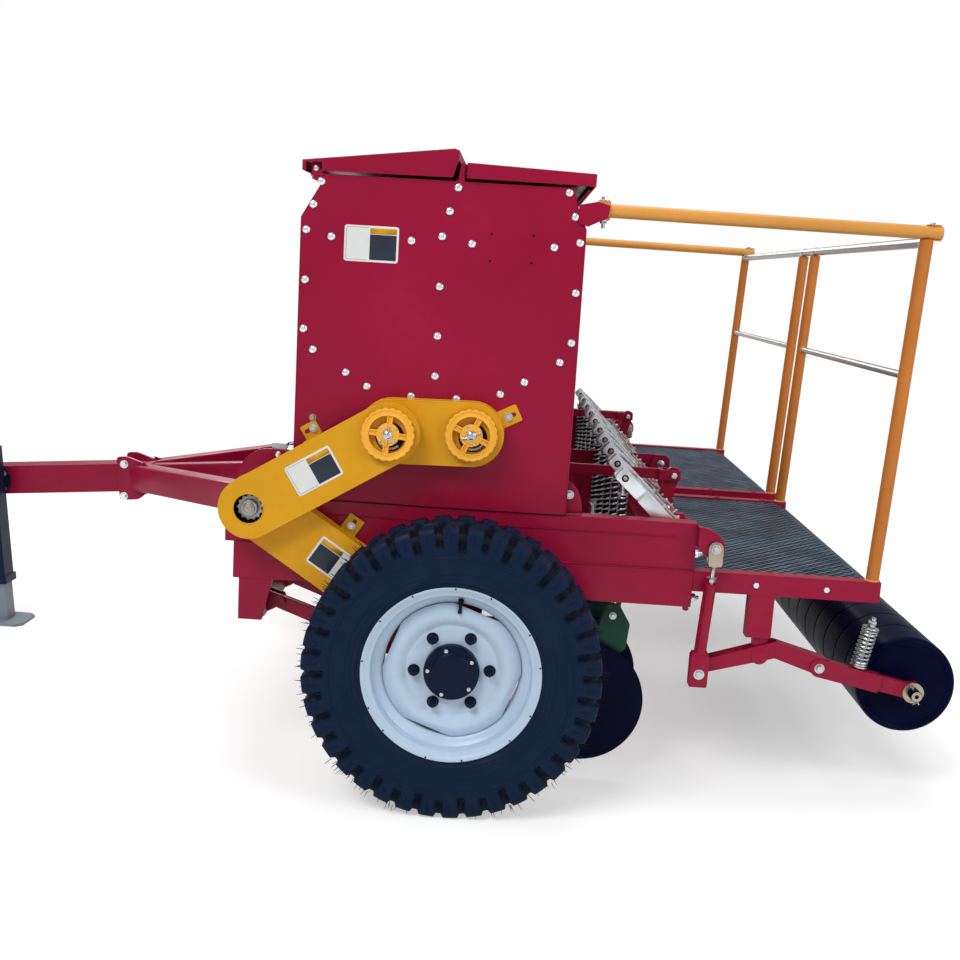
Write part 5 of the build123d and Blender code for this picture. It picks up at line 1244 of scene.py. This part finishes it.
def handwheel(name, centre, face, turn):
    """Scalloped plastic wheel: rim, four ribbed spokes, hub with its screws and a pinned bolt."""
    hub = beside(centre, face)
    out = Vector((0, 1, 0))
    wheel = Piece("handwheel_" + name, wheel_orange, 34)
    # rim section: (radius, depth), the scallops fading inwards
    section = [
        (0.0478, 0.0), (0.0478, 0.01), (0.0486, 0.0112), (0.0505, 0.0108), (0.052, 0.01), (0.059, 0.01),
        (0.0606, 0.0112), (0.0625, 0.012), (0.0645, 0.0114), (0.0655, 0.0095), (0.0655, 0.002),
        (0.0645, 0.0002), (0.06, 0.0),
    ]
    rows = []
    for i in range(SCALLOPS * 10):
        a = TAU * i / (SCALLOPS * 10)
        lobe = abs(math.sin(SCALLOPS / 2 * a)) ** 0.7
        row = []
        for r, w in section:
            share = max(0.0, (r - 0.059) / 0.0065)
            rr = r + share * (0.0036 * lobe - 0.0014)
            row.append(turned(hub + out * w, a, rr))
        rows.append(row)
    wheel.grid(rows, closed_rows=True, closed_cols=True)
    boss = [
        (0.029, 0.0), (0.0292, 0.008), (0.0285, 0.0092), (0.0215, 0.0094), (0.0208, 0.0112), (0.015, 0.0118),
        (0.014, 0.0106), (0.0, 0.0106)
    ]
    wheel.round(hub, out, boss, 48)
    for k in range(4):
        a = math.radians(turn + 90 * k)
        d = Vector((math.sin(a), 0, math.cos(a)))
        n = Vector((d.z, 0, -d.x))
        # a flat web with a rib along each edge: shift, near and far end, half width, height, bevel
        for shift, near, far, half, high, bevel in (
            (0.0, 0.027, 0.049, 0.0075, 0.0062, 0.0006),
            (-0.0056, 0.0265, 0.0492, 0.0014, 0.01, 0.0005),
            (0.0056, 0.0265, 0.0492, 0.0014, 0.01, 0.0005),
        ):
            corners = ((near, -half), (near, half), (far, half), (far, -half))
            wheel.prism([hub + d * run + n * shift + n * v for run, v in corners], out * high, bevel)
    wheel.done(["handwheels"] if name == "front" else ())
    metal_bits = Piece("handwheel_fittings_" + name, zinc, 34)
    metal_bits.rod(beside(centre, HALF), hub, 0.01, 24)
    metal_bits.round(
        hub + out * 0.0106, out,
        [
            (0.0128, 0), (0.0128, 0.0014), (0.0102, 0.0018), (0.01, 0.0044), (0.0072, 0.0068),
            (0.003, 0.0076), (0.0, 0.0077)
        ],
        32
    )
    a = math.radians(turn + (2 if name == "front" else -42))
    d = Vector((math.sin(a), 0, math.cos(a)))
    n = Vector((d.z, 0, -d.x))
    bar = (
        (0.0135, -0.0215, 0.0015), (0.015, -0.0175, 0.0), (0.0158, 0.0, 0.0), (0.015, 0.019, 0.0),
        (0.014, 0.0232, -0.002),
    )
    line = [hub + out * lift + d * run + n * bend for lift, run, bend in bar]
    metal_bits.sweep(line, [0.0026, 0.0017, 0.0017, 0.0017, 0.0024], 8)
    for k in range(4):
        spot = turned(hub, math.radians(turn + 45 + 90 * k), 0.0245) + out * 0.0092
        metal_bits.dome_bolt(spot, out, 0.004, 0.0026)
    metal_bits.done()
    # dark disc on the guard behind the handwheel: painted shade
    back = Piece("handwheel_well_shade_" + name, dark_gap_and_shade, 34)
    back.round(
        hub - out * 0.0077 + Vector((-0.004, 0, -0.007)), out, [(0.037, 0.0), (0.037, 0.0004), (0.0, 0.0004)],
        36
    )
    back.done()
    chain = Piece("handwheel_chain_" + name, dull_steel, 34)
    for k in range(9):
        a = math.radians((118 if name == "front" else 140) + 13 * k)
        spot = hub - out * 0.0072 + Vector((-0.004 + 0.03 * math.sin(a), 0, -0.007 + 0.03 * math.cos(a)))
        chain.round(spot, out, [(0.004, 0), (0.004, 0.002), (0.0022, 0.0028), (0.0, 0.0028)], 14)
    chain.done()


handwheel("front", FRONT_METER, 1.319, -6)
handwheel("rear", REAR_METER, 1.271, -24)

# ============================ platform and rails =============================
DECK_TOP = 0.621
trim = Piece("platform_bolts", bright_zinc, 34)
for side, _, out in sides():
    for station in (-0.777, -0.961):
        trim.hex_bolt(at(station, side * HALF, 0.5935), out, 0.015, 0.007, False)
    for station, z in ((-0.6185, 0.661), (-0.6235, 0.542)):
        trim.hex_bolt(at(-0.6125, side * 1.1875, z), BACK, 0.0185, 0.011, True, 0.01)
        trim.hex_bolt(at(-0.6125, side * 1.202, z), BACK, 0.015, 0.007, True, 0.006)
trim.done()
heads = Piece("platform_screws", crimson, 34)
sheets = Piece("tread_plates", deck, 34)
for side in (-1, 1):
    for station in (-0.7, -0.86, -1.02):
        heads.dome_bolt(at(station, side * 0.08, DECK_TOP), UP, 0.0095, 0.0045)
    fold = [
        (-0.6135, 0.616), (-1.06, 0.616), (-1.0632, 0.6156), (-1.0975, 0.601), (-1.0988, 0.5983),
        (-1.06, 0.613), (-0.6135, 0.613)
    ]
    sheets.prism(placed(fold, side * 0.1005), Vector((0, side * 1.0735, 0)), 0.0)
heads.done()
sheets.done(["platform_plates"])

INNER_POST_Y, RAIL_Y = 0.082, 1.195
CROSS_TUBE = (-1.117, 1.497)


def slab(piece, centre, half_x, half_y, thick, bevel):
    """A flat block on a centre, thick upwards."""
    corners = ((half_x, -half_y), (-half_x, -half_y), (-half_x, half_y), (half_x, half_y))
    piece.prism([centre + Vector((x, y, 0)) for x, y in corners], Vector((0, 0, thick)), bevel)


saddles = Piece("rail_saddles", zinc, 34)
caps = Piece("rail_lugs", rail, 34)
for side, _, out in sides():
    down = Vector((-0.862, 0, -0.008)).normalized()
    front, rear = at(-0.29, side * RAIL_Y, 1.529), at(-1.152, side * RAIL_Y, 1.521)
    # front joint: lugs above and below the pipe, with one bolt through them
    for sign in (1, -1):
        slab(caps, front + Vector((-0.018, 0, sign * 0.0178)), 0.016, side * 0.011, sign * 0.0055, 0.0012)
    saddles.rod(front + Vector((-0.018, 0, -0.044)), front + Vector((-0.018, 0, 0.0235)), 0.0045, 16)
    saddles.hex_bolt(front + Vector((-0.018, 0, 0.0233)), UP, 0.0165, 0.008)
    saddles.hex_bolt(front + Vector((-0.018, 0, -0.0233)), (0, 0, -1), 0.015, 0.007)
    # open rear end of the pipe, and the lug that caps the post
    caps.round(
        rear, down,
        [(0.017, -0.001), (0.0172, 0.0006), (0.016, 0.001), (0.014, 0.0008), (0.0136, -0.01), (0.0, -0.0102)],
        28
    )
    for lift in (0.0178, -0.0195):
        slab(caps, rear + Vector((0.02, 0, lift)), 0.018, 0.01, 0.0026, 0.0008)
    saddles.hex_bolt(rear + Vector((0.024, 0, 0.0204)), UP, 0.011, 0.005, False)
    # the cross tube's bands over the posts' heads
    for y in (INNER_POST_Y, RAIL_Y - 0.0185):
        spot = beside(CROSS_TUBE, side * y)
        saddles.round(
            spot - out * 0.008, out, [(0.0133, 0), (0.0148, 0.0004), (0.0148, 0.0156), (0.0133, 0.016)], 28
        )
    for y in (INNER_POST_Y + 0.0185, RAIL_Y - 0.0185):
        share = (1.162 - DECK_TOP) / (CROSS_TUBE[1] - DECK_TOP)
        spot = at(-1.083 - 0.034 * share, side * y, 1.162)
        caps.round(
            spot - out * 0.0015, out, [(0.0102, 0), (0.0128, 0.0004), (0.0128, 0.0026), (0.0102, 0.003)], 24
        )
    spot = beside(CROSS_TUBE, side * INNER_POST_Y) + Vector((-0.0165, 0, 0))
    saddles.hex_bolt(spot, BACK, 0.011, 0.005, False)
    for y in (INNER_POST_Y, RAIL_Y):
        caps.round(
            at(-1.0835, side * y, DECK_TOP), UP,
            [(0.02, 0.0), (0.0205, 0.0012), (0.0186, 0.0034), (0.0172, 0.0046)], 28
        )
saddles.done()
caps.done()

# flared lip along the top of the rear wall, in dark navy: painted shade
lip = Piece("rear_lip_painted_shade", navy, 34)
lip_shape = [(-0.236, 1.534), (-0.266, 1.57), (-0.269, 1.569), (-0.2385, 1.532)]
lip.prism(placed(lip_shape, -1.208), Vector((0, 2.416, 0)), 0.0006)
lip.done()
# skirt of the middle web, then a quadrant plate under each rear corner of the hopper
apron = Piece("middle_web_apron", crimson, 30)
shape = [(-0.29, 0.52), (-0.29, 0.65), (-0.33, 0.6135), (-0.6115, 0.6135), (-0.6115, 0.52)]
apron.prism(placed(shape, 0.0545), Vector((0, -0.009, 0)), 0.001)
apron.done()
quadrant = Piece("rear_quadrants", crimson, 34)
quadrant_bolts = Piece("rear_quadrant_bolts", zinc, 34)
for side in (-1, 1):
    shape = [(-0.262, 0.748)]
    for k in range(11):
        a = math.radians(90 + 9 * k)
        shape.append((-0.262 + 0.048 * math.cos(a), 0.748 + 0.086 * math.sin(a)))
    side_prism(quadrant, shape, 1.19, 0.005, side, 0.001)
    quadrant_bolts.hex_bolt(at(-0.274, side * 1.19, 0.798), (0, side, 0), 0.015, 0.0065)
quadrant.done()
quadrant_bolts.done()

# =============================== front details ===============================
BARREL_Y, BARREL_HEIGHT = 0.75, 0.7995
LEG_ANGLE = math.radians(42.4)
front_bolts = Piece("drawbar_bolts", bright_zinc, 34)
for side in (-1, 1):
    for z in (0.6, 0.482):
        front_bolts.hex_bolt(at(1.281, side * 0.0632, z), (0, side, 0), 0.019, 0.0085)
for side in (-1, 1):
    for sign in (-1, 1):
        front_bolts.round(
            at(0.578, side * BARREL_Y + sign * 0.0272, 0.788), (0, sign, 0),
            [(0.009, 0), (0.009, 0.0014), (0.0078, 0.0022), (0.0, 0.0023)], 24
        )
        front_bolts.hex_bolt(
            at(-0.6016, side * BARREL_Y + sign * 0.0282, BARREL_HEIGHT), (0, sign, 0), 0.016, 0.006, False
        )
front_bolts.done()
slope = math.radians(4.8)
TONGUE_RUN = Vector((math.cos(slope), 0, -math.sin(slope)))
TONGUE_UP = Vector((math.sin(slope), 0, math.cos(slope)))


def tongue(run, y, lift):
    """A point in the tongue's sloping plane, from where its legs meet the drawbar."""
    return at(1.25, y, 0.551) + TONGUE_RUN * run + TONGUE_UP * lift


def tongue_leg(piece, run, y, angle, width, height):
    """A square tube from the tongue's head back to the front beam's face, cut along that face."""
    heading = TONGUE_RUN * -math.cos(angle) + Vector((0, math.sin(angle), 0))
    across = TONGUE_UP.cross(heading)
    first = []
    for u, v in ((-1, -1), (1, -1), (1, 1), (-1, 1)):
        first.append(tongue(run, y, 0) + across * (u * width / 2) + TONGUE_UP * (v * height / 2))
    second = [p + heading * ((AXLE + 0.612 - p.x) / heading.x) for p in first]
    piece.loft(first, second, 0.0055)


def rounded(corners, radius, steps=4):
    """An outline's corners rounded: two-number points, turned either way."""
    points = []
    for k, corner in enumerate(corners):
        p = Vector(corner)
        back, ahead = Vector(corners[k - 1]) - p, Vector(corners[(k + 1) % len(corners)]) - p
        reach = min(radius, back.length * 0.45, ahead.length * 0.45)
        a, b = p + back.normalized() * reach, p + ahead.normalized() * reach
        for step in range(steps + 1):
            t = step / steps
            points.append(tuple(a.lerp(p, t).lerp(p.lerp(b, t), t)))
    return points


legs = Piece("tongue_skin", crimson, 30)
tongue_leg(legs, 0.0, 0.0, 0.0, 0.05, 0.084)
for side in (-1, 1):
    tongue_leg(legs, -0.014, side * 0.036, side * LEG_ANGLE, 0.07, 0.092)
    cheek = rounded(
        [(0.053, -0.08), (0.053, 0.078), (0.014, 0.078), (-0.058, 0.047), (-0.062, -0.047), (-0.016, -0.08)],
        0.011
    )
    legs.prism([tongue(run, side * 0.063, lift) for run, lift in cheek], Vector((0, -side * 0.012, 0)), 0.001)
    # gussets along the leg's outer face, above and below it
    face = Vector((-math.cos(LEG_ANGLE), side * math.sin(LEG_ANGLE), 0))
    base = tongue(-0.04, side * 0.064, 0) + face * 0.005
    for top in (1, -1):
        wedge = [
            base + TONGUE_UP * 0.0445 * top, base + face * 0.04 + TONGUE_UP * 0.0445 * top,
            base + TONGUE_UP * 0.06 * top
        ]
        legs.prism(wedge, face.cross(TONGUE_UP) * 0.008 * -side, 0.0008)
    weld(legs, tongue(-0.047, side * 0.0645, -0.04), tongue(-0.047, side * 0.0645, 0.044), 0.0022, 0.007)
head = [(0.017, -0.046), (0.017, 0.046), (-0.063, 0.046), (-0.063, -0.046)]
legs.prism([tongue(run, -0.05, lift) for run, lift in head], Vector((0, 0.1, 0)), 0.002)
legs.done(["tongue_frame"])
lugs = Piece("front_lug_plates", crimson, 30)
for side in (-1, 1):
    for step in (-1, 1):
        face = side * BARREL_Y + step * 0.022 + 0.005
        shape = [(0.538, 0.697), (0.54, 0.788), (0.552, 0.802), (0.612, 0.804)]
        shape += arc((0.602, 0.706), 0.099, 78, -3, 9)
        lugs.prism(placed(shape, face), Vector((0, -0.01, 0)), 0.0012)
lugs.done(["lift_lugs"])
hitch = Piece("hitch_wear_rings", dull_steel, 34)
eye = Vector((1.68089, 0, 0.483328))
for sign in (-1, 1):
    hitch.round(
        eye + TONGUE_UP * sign * 0.0508, TONGUE_UP * sign,
        [(0.0162, 0), (0.03, 0.0002), (0.0302, 0.002), (0.029, 0.0028), (0.0162, 0.003)], 40
    )
hitch.done()
jack = Piece("jack_fittings", zinc, 34)
jack_mid = at(1.75, 0, 0.551 - 0.5 * math.tan(slope))
for k in range(4):
    a = TAU * (k + 0.5) / 4
    jack.hex_bolt(jack_mid + Vector((0.038 * math.cos(a), 0.063, 0.038 * math.sin(a))), LEFT, 0.013, 0.006)
jack.done()
lifts = Piece("barrel_glands", zinc, 34, "lift_barrels")
for side in (-1, 1):
    mouth = at(0.35, side * BARREL_Y, BARREL_HEIGHT) - Vector((0.012, 0, 0))
    lifts.round(
        mouth, (1, 0, 0), [(0.027, 0), (0.029, 0.001), (0.029, 0.013), (0.027, 0.015), (0.016, 0.0152)], 36
    )
    lifts.round(
        at(-0.04, side * BARREL_Y, BARREL_HEIGHT), (1, 0, 0),
        [(0.026, -0.001), (0.0288, 0.001), (0.0288, 0.012), (0.0272, 0.014)], 36
    )
lifts.done()
feed = Piece("feed_details", zinc, 34)
for station in (0.203, -0.01):
    for y in UNIT_Y:
        for sign in (-1, 1):
            for step in (0.018, -0.018):
                spot = at(station + step, y + sign * 0.0302, 0.99)
                feed.hex_bolt(spot, (0, sign, 0), 0.01, 0.0045, False)
            feed.round(
                at(station, y + sign * 0.03, 0.945), (0, sign, 0),
                [(0.0195, 0), (0.02, 0.001), (0.0195, 0.005), (0.016, 0.0058), (0.0125, 0.006)], 28
            )
feed.done()
pins = Piece("lug_pins", zinc, 34)
pins.round(
    at(-0.651, 0.0662, 0.726), LEFT, [(0.0135, 0), (0.0135, 0.003), (0.011, 0.0045), (0.0, 0.0046)], 28
)
pins.round(
    at(-0.6185, -1.1758, 0.752), LEFT,
    [(0.0135, 0), (0.0135, 0.0022), (0.0085, 0.0026), (0.008, 0.006), (0.0, 0.0064)], 28
)
pins.hex_bolt(at(-0.6585, 0.0662, 0.678), LEFT, 0.009, 0.006, False, 0.004)
pins.done()
lid_bits = Piece("lid_pivots", zinc, 34)
for side in (-1, 1):
    lid_bits.dome_bolt(at(0.418, side * 1.2152, 1.59), (0, side, 0), 0.0075, 0.0042)
lid_bits.done()
lid_edge = Piece("front_lid_folds", crimson, 40, "front_lid")
rear_edge = Piece("rear_lid_folds", crimson, 40, "rear_lid")
for side in (-1, 1):
    y = side * 1.2208
    for a, b in (((0.4505, 1.6075), (0.073, 1.6545)), ((0.073, 1.6545), (0.0625, 1.651))):
        lid_edge.sweep([beside(a, y), beside(b, y)], 0.002, 6)
    rear_edge.sweep([at(0.039, y, 1.6225), at(-0.282, y, 1.6125)], 0.002, 6)
for piece, spot in ((lid_edge, (0.4502, 1.607)), (lid_edge, (0.0725, 1.654)), (rear_edge, (-0.2812, 1.6122))):
    piece.sweep([beside(spot, -1.22), beside(spot, 1.22)], 0.0024, 6)
lid_edge.done()
rear_edge.done()

# ============================ floor, lights, camera ==========================
def stage_material():
    """A floor and backdrop that read white to the camera and in reflections, and keep a soft shadow."""
    material = bpy.data.materials.new("studio white")
    material.use_nodes = True
    n = Tree(material.node_tree)
    n.tree.nodes.clear()
    path = n.add("LightPath").outputs
    seen = n.math("MAXIMUM", path["Is Camera Ray"], path["Is Glossy Ray"])
    diffuse = n.add("BsdfDiffuse", (0.74, 0.74, 0.74, 1.0))
    glow = n.add("Emission", WHITE, n.math("MULTIPLY", seen, 0.44))
    lit = n.add("AddShader", diffuse.outputs[0], glow.outputs[0])
    # away from the object the floor runs out into plain white
    reach = n.add("VectorMath", n.add("TexCoord").outputs["Object"], operation="LENGTH")
    fade = n.add("MapRange", reach.outputs["Value"], 2.2, 4.2, interpolation_type="SMOOTHSTEP")
    share = n.math("MULTIPLY", fade.outputs["Result"], seen)
    mix = n.add("MixShader", share, lit.outputs[0], n.add("Emission", WHITE).outputs[0])
    n.add("OutputMaterial", mix.outputs[0])
    return material


SPAN = 60.0
WHITE = (1.0, 1.0, 1.0, 1.0)
mesh = bpy.data.meshes.new("studio_floor")
mesh.from_pydata([(-SPAN, -SPAN, 0), (SPAN, -SPAN, 0), (SPAN, SPAN, 0), (-SPAN, SPAN, 0)], [], [(0, 1, 2, 3)])
floor = bpy.data.objects.new("studio_floor", mesh)
bpy.context.scene.collection.objects.link(floor)
mesh.materials.append(stage_material())

world = bpy.data.worlds.new("studio")
bpy.context.scene.world = world
world.use_nodes = True
n = Tree(world.node_tree)
level = n.add("MapRange", n.add("LightPath").outputs["Is Camera Ray"], To_Min=0.36, To_Max=1.0)
n.feed(WHITE, n.tree.nodes["Background"].inputs["Color"])
n.feed(level.outputs["Result"], n.tree.nodes["Background"].inputs["Strength"])


def lamp(name, place, target, size, power, colour=(1.0, 1.0, 1.0)):
    data = bpy.data.lights.new(name, "AREA")
    data.shape = "RECTANGLE"
    data.size, data.size_y = size
    data.energy = power
    data.color = colour
    obj = bpy.data.objects.new(name, data)
    bpy.context.scene.collection.objects.link(obj)
    obj.location = place
    obj.rotation_euler = (Vector(target) - Vector(place)).to_track_quat("-Z", "Y").to_euler()


lamp("key", (2.2, 5.2, 5.4), (-0.2, 0.4, 0.7), (3.2, 2.2), 235)
lamp("fill", (-4.8, 4.2, 3.2), (-0.4, 0.4, 0.7), (3.0, 2.4), 95)
lamp("top", (-0.6, -0.6, 6.0), (-0.4, 0.0, 0.6), (4.0, 4.0), 150)
lamp("back", (1.0, -5.6, 3.6), (0.0, 0.0, 0.8), (3.6, 2.4), 150)

YAW, PITCH, ROLL = (math.radians(a) for a in (1.3056, 9.881, 3.4329))
ahead = Vector((math.sin(YAW), -math.cos(YAW), 0))
across = Vector((-math.cos(YAW), -math.sin(YAW), 0))
up = Vector((0, 0, 1))
look = ahead * math.cos(PITCH) - up * math.sin(PITCH)
top = up * math.cos(PITCH) + ahead * math.sin(PITCH)
right = across * math.cos(ROLL) + top * math.sin(ROLL)
above = top * math.cos(ROLL) - across * math.sin(ROLL)
camera = bpy.data.objects.new("camera", bpy.data.cameras.new("camera"))
bpy.context.scene.collection.objects.link(camera)
camera.data.lens = 44.105
camera.data.sensor_width = 36.0
camera.data.clip_end = 200.0
camera.matrix_world = Matrix(
    [
        [right.x, above.x, -look.x, -0.48137],
        [right.y, above.y, -look.y, 4.23262],
        [right.z, above.z, -look.z, 1.35176],
        [0, 0, 0, 1],
    ]
)
bpy.context.scene.camera = camera
bpy.context.scene.view_settings.view_transform = "Standard"

bpy.context.view_layer.update()
